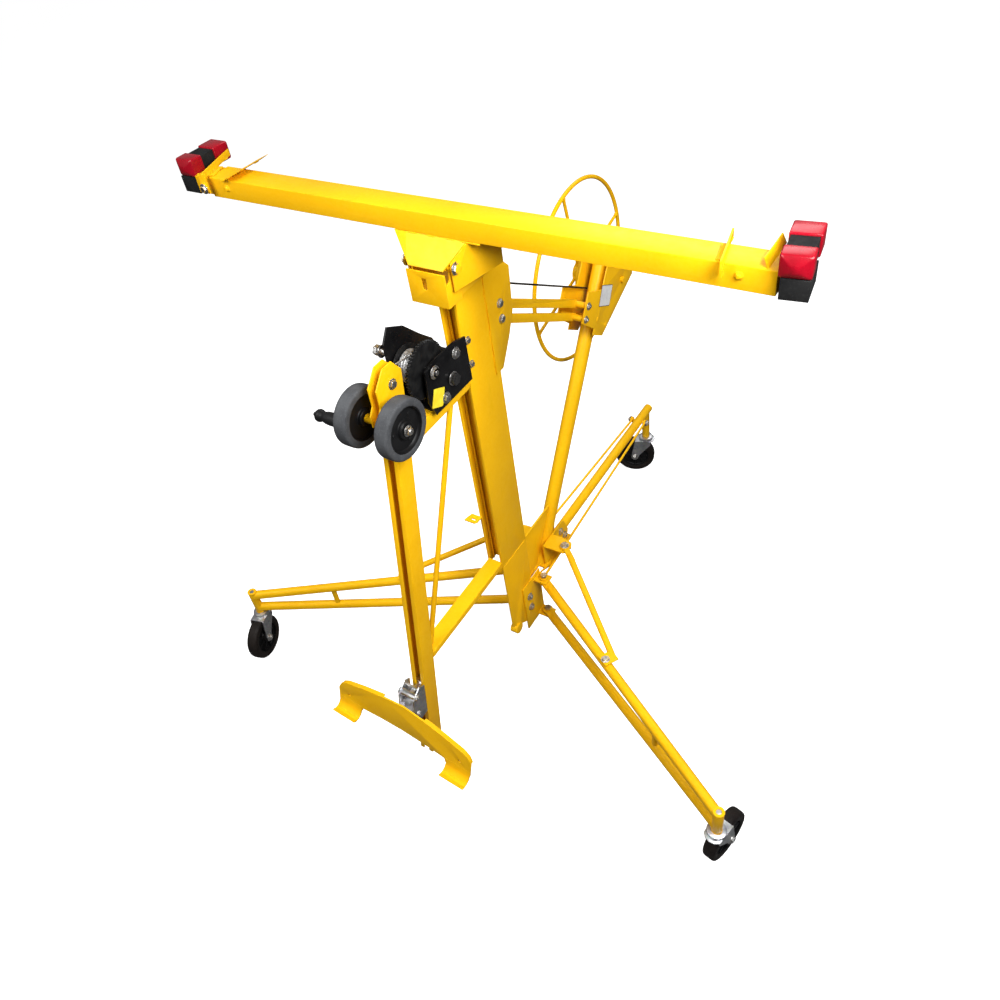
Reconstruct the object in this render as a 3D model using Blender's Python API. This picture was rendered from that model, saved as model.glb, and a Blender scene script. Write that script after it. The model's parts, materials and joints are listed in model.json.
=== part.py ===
"""Telescoping drywall lift with a front panel loader: tripod base, mast, tilting head, two winches.

Metres, +Z up. The origin is on the floor under the mast. +X runs along the cross beam,
+Y points to the rear leg and the handwheel, and the panel loader is on the -Y side.
"""
import math

import bmesh
import bpy
from mathutils import Matrix, Vector

GAP = 0.0003              # between two pieces that are fastened face to face
PIN_PLAY = 0.0001         # radial play of a pin in its hole
ROUND = 18                # sides of a round tube
SMALL_ROUND = 10          # sides of a rod or bolt shank

MAST_HALF_X = 0.021
MAST_HALF_Y = 0.055
MAST_WALL = 0.0025
MAST_JOINT_Z = 0.402
MAST_TOP_Z = 1.165
MAST_FOOT_FRONT_Z = 0.166
MAST_FOOT_REAR_Z = 0.082
MAST_MOUTH_HALF = 0.0150

MIDDLE_HALF_X = 0.0170
MIDDLE_FRONT_Y = -0.040
MIDDLE_REAR_Y = 0.050
MIDDLE_WALL = 0.0020
INNER_HALF_X = 0.0135
INNER_FRONT_Y = -0.033
INNER_REAR_Y = 0.044
INNER_TOP_Z = 1.1797

LEG_PIVOT = Vector((0.048, 0.075, 0.0))
LEG_FOOT = Vector((0.683, -0.312, 0.0))
LEG_TUBE_R = 0.0125
LEG_UPPER_ROOT_Z = 0.230
LEG_UPPER_FOOT_Z = 0.207
LEG_LOWER_ROOT_Z = 0.106
LEG_LOWER_FOOT_Z = 0.158
LEG_PIN_R = 0.005
BRACE_PIN = Vector((0.0747, 0.151, 0.305))
BRACE_REACH = 0.41        # share of the leg length where the brace meets the leg
SPACER_REACH = 0.69

BACK_LEG_Z = 0.243
BACK_LEG_R = 0.0135
BACK_LEG_START_Y = 0.181
BACK_LEG_END_Y = 0.850
BACK_FOOT_Y = 0.830
TIE_END = Vector((0.0215, 0.775, 0.243))

CASTER_R = 0.0635
CASTER_HALF_W = 0.0155
CASTER_TRAIL = 0.035
STEM_R = 0.006
SOCKET_R = 0.0120
SOCKET_LOW_Z = 0.142
SOCKET_TOP_Z = 0.223
LEFT_TRAIL_DEG = -75.0
RIGHT_TRAIL_DEG = 77.0
REAR_TRAIL_DEG = 200.0

POST_FOOT = Vector((0.0, 0.150, 0.250))
POST_DIR = Vector((0.0, 0.534, 0.845)).normalized()
POST_SIDE = Vector((0.0, 0.845, -0.534)).normalized()
POST_R = 0.0185
POST_LENGTH = 0.800
BASE_PLATE_TOP_Z = 0.2290

WHEEL_CENTRE = Vector((0.0, 0.605, 0.843))
HANDWHEEL_R = 0.233
HANDWHEEL_X = -0.085
SPOKE_START_DEG = 14.0
WINCH_SHAFT_R = 0.008
WINCH_PLATE_X = 0.036

TRACK_HALF_X = 0.018
TRACK_DEPTH = 0.0414
TRACK_FOOT = Vector((0.0, -0.4441, 0.126))
TRACK_DIR = Vector((0.0, 0.1715, 0.9852)).normalized()
TRACK_REAR = Vector((0.0, 0.9852, -0.1715)).normalized()
TRACK_LENGTH = 0.9176
ROLLER_AXLE = Vector((0.0, -0.300, 1.040))
ROLLER_R = 0.059
PULLEY_AXLE = Vector((0.0, -0.2573, 1.0975))
PULLEY_R = 0.018

CARRIER_REACH = 0.0640    # from the track's front face to the back of the carrier bar
CARRIER_PIVOT_H = 0.1817
CARRIER_ROLL_DEG = 7.0

DRUM_AXLE = Vector((0.0, -0.1724, 1.0734))
CRANK_AXLE = Vector((0.0, -0.1230, 1.0265))
GEAR_TEETH = 51
PINION_TEETH = 12
CRANK_END = Vector((-0.105, -0.262, 0.965))
GRIP_START_X = -0.1120
GRIP_END_X = -0.2150

BEAM_LEFT_X = -0.5635
BEAM_RIGHT_X = 0.6035
BEAM_FRONT_Y = -0.050
BEAM_REAR_Y = 0.0075
BEAM_LOW_Z = 1.2747
BEAM_TOP_Z = 1.3147
BEAM_WALL = 0.0022
HEAD_PIVOT = Vector((0.0, -0.078, 1.236))
PAD_HALF_X = 0.0235
PAD_HALF_Z = 0.0180
PAD_FRONT = -0.0600       # the pad's own y, from its middle
PAD_CORE_FRONT = -0.0220
PAD_CORE_REAR = 0.0120
PAD_REAR = 0.0600
LEFT_PAD_X = -0.6315
LEFT_PAD_Y = 0.0080
LEFT_PAD_Z = 1.3245
RIGHT_PAD_X = 0.6240
RIGHT_PAD_Y = -0.0120
RIGHT_PAD_Z = 1.3332
PAD_YAW_DEG = 7.0
BOX_HALF_X = 0.042
FOOTPRINT_MIDDLE = Vector((0.0060, 0.1648, 0.0))   # seen from the mast's foot

X_AXIS = Vector((1.0, 0.0, 0.0))
Y_AXIS = Vector((0.0, 1.0, 0.0))
Z_AXIS = Vector((0.0, 0.0, 1.0))


def clear_scene():
    """Remove everything the empty file starts with."""
    for leftover in list(bpy.data.objects):
        bpy.data.objects.remove(leftover, do_unlink=True)
    for leftover in list(bpy.data.meshes):
        bpy.data.meshes.remove(leftover)


def finish_mesh(name, mesh_builder):
    """Turn a bmesh into a named object with outward faces."""
    bmesh.ops.remove_doubles(mesh_builder, verts=mesh_builder.verts, dist=1e-7)
    bmesh.ops.recalc_face_normals(mesh_builder, faces=mesh_builder.faces)
    mesh = bpy.data.meshes.new(name)
    mesh_builder.to_mesh(mesh)
    mesh_builder.free()
    piece = bpy.data.objects.new(name, mesh)
    bpy.context.collection.objects.link(piece)
    return piece


def frame_at(origin, across, up, out):
    """A placement whose local x, y and z run along the three given directions."""
    turn = Matrix((across, up, out)).transposed().to_4x4()
    return Matrix.Translation(origin) @ turn


YZ_FRAME = frame_at(Vector((0.0, 0.0, 0.0)), Y_AXIS, Z_AXIS, X_AXIS)
XY_FRAME = Matrix.Identity(4)


def prism(name, frame, outline, low, high):
    """Extrude a flat outline along the frame's local z from low to high."""
    builder = bmesh.new()
    bottom = [builder.verts.new(frame @ Vector((x, y, low))) for x, y in outline]
    top = [builder.verts.new(frame @ Vector((x, y, high))) for x, y in outline]
    builder.faces.new(bottom)
    builder.faces.new(list(reversed(top)))
    for i in range(len(outline)):
        j = (i + 1) % len(outline)
        builder.faces.new((bottom[i], bottom[j], top[j], top[i]))
    return finish_mesh(name, builder)


def block(name, low, high, frame=XY_FRAME):
    """A rectangular block between two opposite corners."""
    outline = [(low[0], low[1]), (high[0], low[1]), (high[0], high[1]), (low[0], high[1])]
    return prism(name, frame, outline, low[2], high[2])


def ring_points(radius, sides, turn=0.0):
    """Corners of a regular polygon."""
    step = 2.0 * math.pi / sides
    return [(radius * math.cos(turn + step * i), radius * math.sin(turn + step * i)) for i in range(sides)]


def axis_frame(start, direction):
    """A placement whose local z runs along a direction."""
    out = direction.normalized()
    helper = X_AXIS if abs(out.dot(Z_AXIS)) > 0.9 else Z_AXIS
    across = helper.cross(out).normalized()
    return frame_at(start, across, out.cross(across), out)


def rod(name, start, end, radius, sides=SMALL_ROUND, turn=0.0):
    """A solid round bar between two points."""
    direction = end - start
    frame = axis_frame(start, direction)
    return prism(name, frame, ring_points(radius, sides, turn), 0.0, direction.length)


def lathe(name, centre, direction, profile, sides):
    """Revolve a closed profile of (radius, distance along the axis) pairs, all off the axis."""
    frame = axis_frame(centre, direction)
    builder = bmesh.new()
    rings = []
    for i in range(sides):
        angle = 2.0 * math.pi * i / sides
        rings.append([
            builder.verts.new(frame @ Vector((r * math.cos(angle), r * math.sin(angle), h)))
            for r, h in profile
        ])
    for i in range(sides):
        this_ring = rings[i]
        next_ring = rings[(i + 1) % sides]
        for k in range(len(profile)):
            m = (k + 1) % len(profile)
            builder.faces.new((this_ring[k], this_ring[m], next_ring[m], next_ring[k]))
    return finish_mesh(name, builder)


def combine(target, tool, operation):
    """Apply one Boolean step and remove the tool."""
    step = target.modifiers.new("step", "BOOLEAN")
    step.operation = operation
    step.solver = "EXACT"
    step.object = tool
    bpy.context.view_layer.update()
    graph = bpy.context.evaluated_depsgraph_get()
    result = bpy.data.meshes.new_from_object(target.evaluated_get(graph))
    target.modifiers.clear()
    old_mesh = target.data
    target.data = result
    bpy.data.meshes.remove(old_mesh)
    tool_mesh = tool.data
    bpy.data.objects.remove(tool, do_unlink=True)
    bpy.data.meshes.remove(tool_mesh)


def assemble(name, pieces, cutters=()):
    """Weld overlapping pieces into one body, then cut the holes."""
    body = pieces[0]
    for extra in pieces[1:]:
        combine(body, extra, "UNION")
    for cutter in cutters:
        combine(body, cutter, "DIFFERENCE")
    body.name = name
    body.data.name = name
    return body


def mirrored(point, side):
    """Move a right-hand point to the given side."""
    return Vector((point.x * side, point.y, point.z))


def side_name(side):
    """Name of a side: +1 is right, -1 is left."""
    return "right" if side > 0 else "left"


def hex_head(name, centre, direction, radius, height):
    """A hexagon bolt head or nut."""
    return rod(name, centre, centre + direction.normalized() * height, radius, 6)


def channel_outline(half_x, front, rear, wall, mouth_half):
    """Cross-section of a C channel whose mouth faces -Y, as (x, y) pairs."""
    return [
        (-mouth_half, front),
        (-mouth_half, front + wall),
        (-half_x + wall, front + wall),
        (-half_x + wall, rear - wall),
        (half_x - wall, rear - wall),
        (half_x - wall, front + wall),
        (mouth_half, front + wall),
        (mouth_half, front),
        (half_x, front),
        (half_x, rear),
        (-half_x, rear),
        (-half_x, front),
    ]


# ---------------------------------------------------------------- mast


def mast_outer_channel():
    """Upper part of the fixed mast, open towards the loader, with a small holed tab on its left lip."""
    outline = channel_outline(MAST_HALF_X, -MAST_HALF_Y, MAST_HALF_Y, MAST_WALL, MAST_MOUTH_HALF)
    shell = prism("shell", XY_FRAME, outline, MAST_JOINT_Z + GAP, MAST_TOP_Z)
    tab_outline = [
        (-0.050, -0.0790), (-0.022, -0.0790), (-0.0165, -0.0730), (-0.0165, -0.0540), (-0.044, -0.0540),
    ]
    tab = prism("tab", XY_FRAME, tab_outline, 0.562, 0.566)
    slot = block("slot", (-0.036, -0.0710, 0.550), (-0.024, -0.0660, 0.580))
    return assemble("mast_outer_channel", [shell, tab], [slot])


def mast_base_section():
    """Lower mast plate with its slanted foot, folded rear flange, short left wing and round boss."""
    top = MAST_JOINT_Z - GAP
    plate_outline = [
        (-MAST_HALF_Y, top),
        (-MAST_HALF_Y, MAST_FOOT_FRONT_Z),
        (MAST_HALF_Y, MAST_FOOT_REAR_Z),
        (MAST_HALF_Y, top),
    ]
    wing_rear = MAST_HALF_Y - 0.0002
    wing_outline = [(0.0160, top), (0.0160, 0.1120), (wing_rear, MAST_FOOT_REAR_Z), (wing_rear, top)]
    plate = prism("plate", YZ_FRAME, plate_outline, MAST_HALF_X - 0.0035, MAST_HALF_X)
    wing = prism("wing", YZ_FRAME, wing_outline, -MAST_HALF_X, -MAST_HALF_X + 0.0035)
    flange = block("flange", (-MAST_HALF_X + 0.0005, MAST_HALF_Y - 0.0038, MAST_FOOT_REAR_Z + 0.0040),
                   (MAST_HALF_X - 0.0005, MAST_HALF_Y - 0.0004, top - 0.0010))
    boss = rod("boss", Vector((0.0060, -0.036, 0.141)), Vector((0.0260, -0.036, 0.141)), 0.016, 20)
    return assemble("mast_base_section", [plate, flange, wing, boss])


def mast_ear(side):
    """Side plate at the mast top that carries the rear brace bars."""
    outline = [
        (0.036, 1.160), (0.098, 1.160), (0.128, 1.130), (0.122, 1.030),
        (0.100, 0.985), (0.062, 0.925), (0.036, 0.925),
    ]
    inner = MAST_HALF_X + GAP
    outer = inner + 0.0030
    plate = prism("ear", YZ_FRAME, outline, min(side * inner, side * outer), max(side * inner, side * outer))
    pieces = [plate]
    for y, z in ((0.078, 1.072), (0.078, 1.036)):
        start = Vector((side * (inner + 0.001), y, z))
        pieces.append(hex_head("head", start, Vector((side, 0, 0)), 0.0085, 0.0070))
    return assemble("mast_ear_" + side_name(side), pieces)


def middle_mast_stage():
    """First telescoping stage, a channel inside the outer mast."""
    outline = channel_outline(MIDDLE_HALF_X, MIDDLE_FRONT_Y, MIDDLE_REAR_Y, MIDDLE_WALL, 0.0115)
    return prism("middle_mast_stage", XY_FRAME, outline, 0.410, 1.163)


def inner_mast_stage():
    """Second telescoping stage, a closed tube that carries the head."""
    shell = block("inner", (-INNER_HALF_X, INNER_FRONT_Y, 0.416), (INNER_HALF_X, INNER_REAR_Y, INNER_TOP_Z))
    hollow = block(
        "hollow",
        (-INNER_HALF_X + 0.002, INNER_FRONT_Y + 0.002, 0.380),
        (INNER_HALF_X - 0.002, INNER_REAR_Y - 0.002, INNER_TOP_Z - 0.004),
    )
    return assemble("inner_mast_stage", [shell], [hollow])


# ---------------------------------------------------------------- tripod


def leg_direction(side):
    """Level direction of a side leg from its pivot to its caster."""
    return mirrored(LEG_FOOT - LEG_PIVOT, side).normalized()


def leg_hinge_bracket(side):
    """Bracket on the mast that holds both pivot bolts of a side leg."""
    pivot = mirrored(LEG_PIVOT, side)
    web_in = MAST_HALF_X + GAP
    xs = sorted((side * web_in, side * (web_in + 0.004)))
    web = block("web", (xs[0], 0.006, 0.088), (xs[1], 0.092, 0.252))
    pieces = [web]
    for z in (0.2356, 0.0962):
        xs = sorted((side * (web_in + 0.001), side * (pivot.x * side + 0.016)))
        pieces.append(block("tongue", (xs[0], 0.058, z), (xs[1], 0.091, z + 0.0042)))
    for low, high in ((0.2210, 0.2560), (0.0930, 0.1185)):
        start = Vector((pivot.x, pivot.y, low))
        pieces.append(rod("bolt", start, Vector((pivot.x, pivot.y, high)), LEG_PIN_R))
    pieces.append(hex_head("nut", Vector((pivot.x, pivot.y, 0.2175)), Z_AXIS, 0.0085, 0.0050))
    pieces.append(hex_head("head", Vector((pivot.x, pivot.y, 0.2500)), Z_AXIS, 0.0090, 0.0060))
    pieces.append(hex_head("nut", Vector((pivot.x, pivot.y, 0.0900)), Z_AXIS, 0.0085, 0.0070))
    pieces.append(hex_head("head", Vector((pivot.x, pivot.y, 0.1140)), Z_AXIS, 0.0090, 0.0060))
    for z in (0.202, 0.160):
        start = Vector((side * (web_in + 0.003), 0.030, z))
        pieces.append(hex_head("nut", start, Vector((side, 0, 0)), 0.0080, 0.0075))
    return assemble("leg_hinge_bracket_" + side_name(side), pieces)


def leg_tube_parts(side, root_z, foot_z):
    """One leg tube with the flattened eye at its root."""
    pivot = mirrored(LEG_PIVOT, side)
    foot = mirrored(LEG_FOOT, side)
    along = leg_direction(side)
    start = pivot + along * 0.030 + Vector((0, 0, root_z))
    tube = rod("tube", start, foot + Vector((0, 0, foot_z)), LEG_TUBE_R, ROUND)
    eye_low = pivot + Vector((0, 0, root_z - 0.0048))
    eye = rod("eye", eye_low, eye_low + Vector((0, 0, 0.0096)), 0.0140, ROUND)
    across = Z_AXIS.cross(along)
    neck_frame = frame_at(pivot + Vector((0, 0, root_z)), along, across, Z_AXIS)
    neck = block("neck", (0.004, -0.0118, -0.0047), (0.052, 0.0118, 0.0047), neck_frame)
    return [tube, eye, neck]


def side_leg(side):
    """Folding side leg: two tubes, a spacer and the caster socket."""
    pivot = mirrored(LEG_PIVOT, side)
    foot = mirrored(LEG_FOOT, side)
    pieces = leg_tube_parts(side, LEG_UPPER_ROOT_Z, LEG_UPPER_FOOT_Z)
    pieces.append(rod("socket", foot + Z_AXIS * SOCKET_LOW_Z, foot + Z_AXIS * SOCKET_TOP_Z, SOCKET_R, ROUND))
    pieces.extend(leg_tube_parts(side, LEG_LOWER_ROOT_Z, LEG_LOWER_FOOT_Z))
    at = pivot.lerp(foot, SPACER_REACH)
    low_z = LEG_LOWER_ROOT_Z + (LEG_LOWER_FOOT_Z - LEG_LOWER_ROOT_Z) * SPACER_REACH
    high_z = LEG_UPPER_ROOT_Z + (LEG_UPPER_FOOT_Z - LEG_UPPER_ROOT_Z) * SPACER_REACH
    pieces.append(rod("spacer", at + Z_AXIS * low_z, at + Z_AXIS * high_z, 0.0070, 12))
    bore_r = STEM_R + PIN_PLAY * 2.5
    pin_r = LEG_PIN_R + PIN_PLAY * 1.5
    cutters = [
        rod("bore", foot + Z_AXIS * 0.100, foot + Z_AXIS * 0.300, bore_r, ROUND),
        rod("upper_pin", pivot + Z_AXIS * 0.200, pivot + Z_AXIS * 0.260, pin_r, ROUND),
        rod("lower_pin", pivot + Z_AXIS * 0.080, pivot + Z_AXIS * 0.130, pin_r, ROUND),
    ]
    return assemble("side_leg_" + side_name(side), pieces, cutters)


def side_brace(side):
    """Brace from the hooked bracket to the side leg, with its lock bolt and a tab over the leg."""
    root = mirrored(BRACE_PIN, side)
    along = leg_direction(side)
    inward = Z_AXIS.cross(along) * side
    leg_point = mirrored(LEG_PIVOT.lerp(LEG_FOOT, BRACE_REACH), side)
    leg_point.z = LEG_UPPER_ROOT_Z + (LEG_UPPER_FOOT_Z - LEG_UPPER_ROOT_Z) * BRACE_REACH
    end = leg_point + inward * (LEG_TUBE_R + 0.0092) + Z_AXIS * 0.0075
    level = end - root
    level.z = 0.0
    level.normalize()
    tube = rod("tube", root + level * 0.038, end, 0.0085, ROUND)
    eye = rod("eye", root - Z_AXIS * 0.0025, root + Z_AXIS * 0.0025, 0.0135, ROUND)
    neck_frame = frame_at(root, level, Z_AXIS.cross(level), Z_AXIS)
    neck = block("neck", (0.003, -0.0080, -0.0022), (0.060, 0.0080, 0.0022), neck_frame)
    tab_frame = frame_at(leg_point, along, Z_AXIS.cross(along), Z_AXIS)
    ys = sorted((side * 0.0280, side * -0.0100))
    tab = block("tab", (-0.0160, ys[0], 0.0138), (0.0160, ys[1], 0.0170), tab_frame)
    tab_bolt = hex_head("tab_bolt", leg_point + Z_AXIS * 0.0160, Z_AXIS, 0.0080, 0.0060)
    shank = rod("shank", root - Z_AXIS * 0.0135, root + Z_AXIS * 0.0070, 0.0045)
    head = hex_head("head", root + Z_AXIS * 0.0020, Z_AXIS, 0.0085, 0.0065)
    nut = hex_head("nut", root - Z_AXIS * 0.0145, Z_AXIS, 0.0085, 0.0065)
    return assemble("side_brace_" + side_name(side), [tube, neck, eye, tab, tab_bolt, shank, head, nut])


def rear_hub_bracket():
    """Welded bracket behind the mast: web, base plate, cheeks and two open hooks for the brace bolts."""
    front = MAST_HALF_Y + GAP
    slope = POST_DIR.y / POST_DIR.z
    clear = (POST_R + GAP) / POST_DIR.z

    def post_front_y(z):
        return POST_FOOT.y + (z - POST_FOOT.z) * slope - clear

    web_outline = [
        (front, 0.2260),
        (post_front_y(0.2295), 0.2260),
        (post_front_y(0.2295), 0.2295),
        (post_front_y(0.375) - GAP, 0.375),
        (front, 0.375),
    ]
    web = prism("web", YZ_FRAME, web_outline, -0.0025, 0.0025)
    plate_outline = [
        (-0.0205, front), (0.0205, front), (0.0205, 0.095), (0.040, 0.150),
        (0.034, 0.258), (-0.034, 0.258), (-0.040, 0.150), (-0.0205, 0.095),
    ]
    plate = prism("plate", XY_FRAME, plate_outline, BASE_PLATE_TOP_Z - 0.005, BASE_PLATE_TOP_Z)
    pieces = [plate, web]
    cutters = []
    cheek_outline = [(0.128, 0.2265), (0.250, 0.2265), (0.258, 0.250), (0.236, 0.3020), (0.128, 0.3020)]
    for side in (-1, 1):
        xs = sorted((side * 0.0195, side * 0.0235))
        pieces.append(prism("cheek", YZ_FRAME, cheek_outline, xs[0], xs[1]))
        hook = [
            (0.0200, 0.1285), (0.0200, 0.178), (0.058, 0.178), (0.084, 0.172), (0.091, 0.158),
            (0.091, 0.150), (0.0835, 0.1335), (0.080, 0.130),
        ]
        hook = [(side * x, y) for x, y in hook]
        pieces.append(prism("hook", XY_FRAME, hook, 0.2980, 0.3020))
        pin = mirrored(BRACE_PIN, side)
        arm = BRACE_PIN - LEG_PIVOT
        leave = Vector((arm.y * side, -arm.x, 0.0)).normalized()
        slot_frame = frame_at(Vector((pin.x, pin.y, 0.0)), leave, Z_AXIS.cross(leave), Z_AXIS)
        cutters.append(block("slot", (0.0, -0.0060, 0.290), (0.040, 0.0060, 0.310), slot_frame))
        low = Vector((pin.x, pin.y, 0.290))
        cutters.append(rod("slot_end", low, low + Z_AXIS * 0.020, 0.0060, ROUND))
        for y, z in ((0.218, 0.276), (0.236, 0.246)):
            start = Vector((side * 0.0225, y, z))
            pieces.append(hex_head("bolt", start, Vector((side, 0, 0)), 0.0080, 0.0070))
        opening = [(0.0065, 0.066), (0.0140, 0.066), (0.0240, 0.118), (0.0065, 0.118)]
        opening = [(side * x, y) for x, y in opening]
        cutters.append(prism("opening", XY_FRAME, opening, 0.200, 0.240))
    return assemble("rear_hub_bracket", pieces, cutters)


def back_leg():
    """Fixed rear leg with its caster socket and the bolt that holds both tie rods."""
    start = Vector((0, BACK_LEG_START_Y, BACK_LEG_Z))
    end = Vector((0, BACK_LEG_END_Y, BACK_LEG_Z))
    tube = rod("tube", start, end, BACK_LEG_R, ROUND)
    foot = Vector((0, BACK_FOOT_Y, 0))
    socket = rod("socket", foot + Z_AXIS * SOCKET_LOW_Z, foot + Z_AXIS * 0.240, SOCKET_R, ROUND)
    bolt = rod("bolt", Vector((-0.034, TIE_END.y, TIE_END.z)), Vector((0.034, TIE_END.y, TIE_END.z)), 0.0040)
    pieces = [tube, socket, bolt]
    for side in (-1, 1):
        start = Vector((side * 0.0272, TIE_END.y, TIE_END.z))
        pieces.append(hex_head("nut", start, Vector((side, 0, 0)), 0.0075, 0.0055))
    bore = rod("bore", foot + Z_AXIS * 0.100, foot + Z_AXIS * 0.228, STEM_R + PIN_PLAY * 2.5, ROUND)
    mouth = rod("mouth", Vector((0, 0.842, BACK_LEG_Z)), Vector((0, 0.900, BACK_LEG_Z)), 0.0105, ROUND)
    return assemble("back_leg", pieces, [bore, mouth])


def tie_rod(side):
    """Thin rod from a leg pivot bolt to the end of the rear leg."""
    pivot = mirrored(LEG_PIVOT, side)
    front = Vector((pivot.x, pivot.y, 0.2445))
    rear = mirrored(TIE_END, side)
    rear.x = side * 0.0215
    along = (rear - front).normalized()
    bar = rod("bar", front + along * 0.008, rear - along * 0.006, 0.0036, 12)
    front_eye = rod("front_eye", front - Z_AXIS * 0.0020, front + Z_AXIS * 0.0020, 0.0115, ROUND)
    ear_start = Vector((side * 0.0190, rear.y, rear.z))
    rear_eye = rod("rear_eye", ear_start, ear_start + Vector((side * 0.0060, 0, 0)), 0.0095, ROUND)
    cutters = [
        rod("front_hole", front - Z_AXIS * 0.02, front + Z_AXIS * 0.02, LEG_PIN_R + PIN_PLAY * 3, ROUND),
        rod("rear_hole", Vector((0, rear.y, rear.z)), Vector((side * 0.05, rear.y, rear.z)), 0.0043, ROUND),
    ]
    return assemble("tie_rod_" + side_name(side), [bar, front_eye, rear_eye], cutters)


# ---------------------------------------------------------------- casters


def caster_places():
    """Name, foot position and trail direction of the three casters."""
    return (
        ("left", mirrored(LEG_FOOT, -1), LEFT_TRAIL_DEG),
        ("right", mirrored(LEG_FOOT, 1), RIGHT_TRAIL_DEG),
        ("rear", Vector((0, BACK_FOOT_Y, 0)), REAR_TRAIL_DEG),
    )


def trail_vector(degrees):
    """Level unit vector at a compass angle from +X."""
    angle = math.radians(degrees)
    return Vector((math.cos(angle), math.sin(angle), 0.0))


def caster_fork(name, foot, degrees):
    """Swivel fork with stem, ring, two legs and the wheel bolt."""
    trail = trail_vector(degrees)
    side_frame = frame_at(foot, trail, Z_AXIS, trail.cross(Z_AXIS))
    stem = rod("stem", foot + Z_AXIS * 0.130, foot + Z_AXIS * 0.222, STEM_R)
    ring = rod("ring", foot + Z_AXIS * 0.1290, foot + Z_AXIS * 0.1405, 0.0215, ROUND)
    crown_frame = frame_at(foot, trail, Z_AXIS.cross(trail), Z_AXIS)
    crown_outline = [
        (-0.0180, -0.0200), (0.0330, -0.0200), (0.0330, 0.0200), (-0.0180, 0.0200),
        (-0.0260, 0.0120), (-0.0290, 0.0000), (-0.0260, -0.0120),
    ]
    crown = prism("crown", crown_frame, crown_outline, 0.1276, 0.1312)
    pieces = [ring, crown, stem]
    outline = [
        (-0.016, 0.1303), (0.034, 0.1303), (0.045, 0.074), (0.045, 0.056),
        (0.035, 0.051), (0.025, 0.056), (0.020, 0.072), (-0.016, 0.116),
    ]
    for low, high in ((-0.0208, -0.0180), (0.0180, 0.0208)):
        pieces.append(prism("leg", side_frame, outline, low, high))
    hub = foot + trail * CASTER_TRAIL + Z_AXIS * CASTER_R
    axle = trail.cross(Z_AXIS)
    pieces.append(rod("axle", hub - axle * 0.0235, hub + axle * 0.0235, 0.0050))
    pieces.append(hex_head("head", hub + axle * 0.0200, axle, 0.0085, 0.0060))
    pieces.append(hex_head("nut", hub - axle * 0.0200, -axle, 0.0085, 0.0060))
    return assemble("caster_fork_" + name, pieces)


def caster_wheel(name, foot, degrees):
    """Solid caster wheel with a raised rim and hub."""
    trail = trail_vector(degrees)
    hub = foot + trail * CASTER_TRAIL + Z_AXIS * CASTER_R
    half = CASTER_HALF_W
    profile = [
        (0.0051, -0.0170), (0.0150, -0.0170), (0.0160, -0.0085), (0.0450, -0.0085),
        (0.0460, -half), (0.0590, -half), (CASTER_R, -half + 0.005), (CASTER_R, half - 0.005), (0.0590, half),
        (0.0460, half), (0.0450, 0.0085), (0.0160, 0.0085), (0.0150, 0.0170), (0.0051, 0.0170),
    ]
    return lathe("caster_wheel_" + name, hub, trail.cross(Z_AXIS), profile, 24)


# ---------------------------------------------------------------- rear winch


def post_frame():
    """Placement along the winch post: local x up the post, y behind it, z to the right."""
    return frame_at(POST_FOOT, POST_DIR, POST_SIDE, POST_DIR.cross(POST_SIDE))


def winch_post():
    """Round post that leans back from the hub bracket and carries the rear winch."""
    base_z = BASE_PLATE_TOP_Z + GAP * 2
    low = POST_FOOT - POST_DIR * 0.060
    tube = rod("post", low, POST_FOOT + POST_DIR * POST_LENGTH, POST_R, ROUND)
    floor_cut = block("floor", (-0.1, 0.0, 0.0), (0.1, 0.3, base_z))
    mouth_start = POST_FOOT + POST_DIR * (POST_LENGTH - 0.030)
    mouth = rod("mouth", mouth_start, POST_FOOT + POST_DIR * (POST_LENGTH + 0.02), POST_R - 0.0025, ROUND)
    return assemble("winch_post", [tube], [floor_cut, mouth])


def rear_winch_frame():
    """Two side plates clamped round the post, joined by cross tubes."""
    outline = [
        (0.600, -0.036), (0.600, 0.020), (0.764, 0.130), (0.8156, 0.102), (0.850, 0.050),
        (0.850, -0.030), (0.712, -0.036), (0.700, -0.112), (0.626, -0.112), (0.616, -0.036),
    ]
    frame = post_frame()
    left_plate = prism("left_plate", frame, outline, -WINCH_PLATE_X, -WINCH_PLATE_X + 0.003)
    right_plate = prism("right_plate", frame, outline, WINCH_PLATE_X - 0.003, WINCH_PLATE_X)
    tubes = []
    for u, w in ((0.640, -0.0280), (0.830, -0.0270), (0.628, 0.0262), (0.800, 0.088)):
        start = frame @ Vector((u, w, -WINCH_PLATE_X - 0.0015))
        end = frame @ Vector((u, w, WINCH_PLATE_X + 0.0015))
        tubes.append(rod("cross_tube", start, end, 0.0065, 12))
    reach = X_AXIS * 0.1
    bore = rod("bore", WHEEL_CENTRE - reach, WHEEL_CENTRE + reach, WINCH_SHAFT_R + PIN_PLAY * 3, ROUND)
    return assemble("rear_winch_frame", [left_plate] + tubes + [right_plate], [bore])


def brace_bar(name, mast_z, plate_u):
    """Flat bar from the mast ears to the winch frame, with a spacer tube at each end."""
    frame = post_frame()
    start = Vector((0.0, 0.078, mast_z))
    end = frame @ Vector((plate_u, -0.098, 0.0))
    along = (end - start).normalized()
    bar_frame = frame_at(start, along, X_AXIS.cross(along), X_AXIS)
    length = (end - start).length
    bar = block("bar", (-0.012, -0.0100, -0.0035), (length + 0.010, 0.0100, 0.0035), bar_frame)
    inside = MAST_HALF_X - 0.0005
    front_spacer = rod("spacer", start - X_AXIS * inside, start + X_AXIS * inside, 0.0080, 12)
    reach = WINCH_PLATE_X - 0.0034
    rear_spacer = rod("spacer", end - X_AXIS * reach, end + X_AXIS * reach, 0.0080, 12)
    return assemble(name, [bar, front_spacer, rear_spacer])


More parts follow.
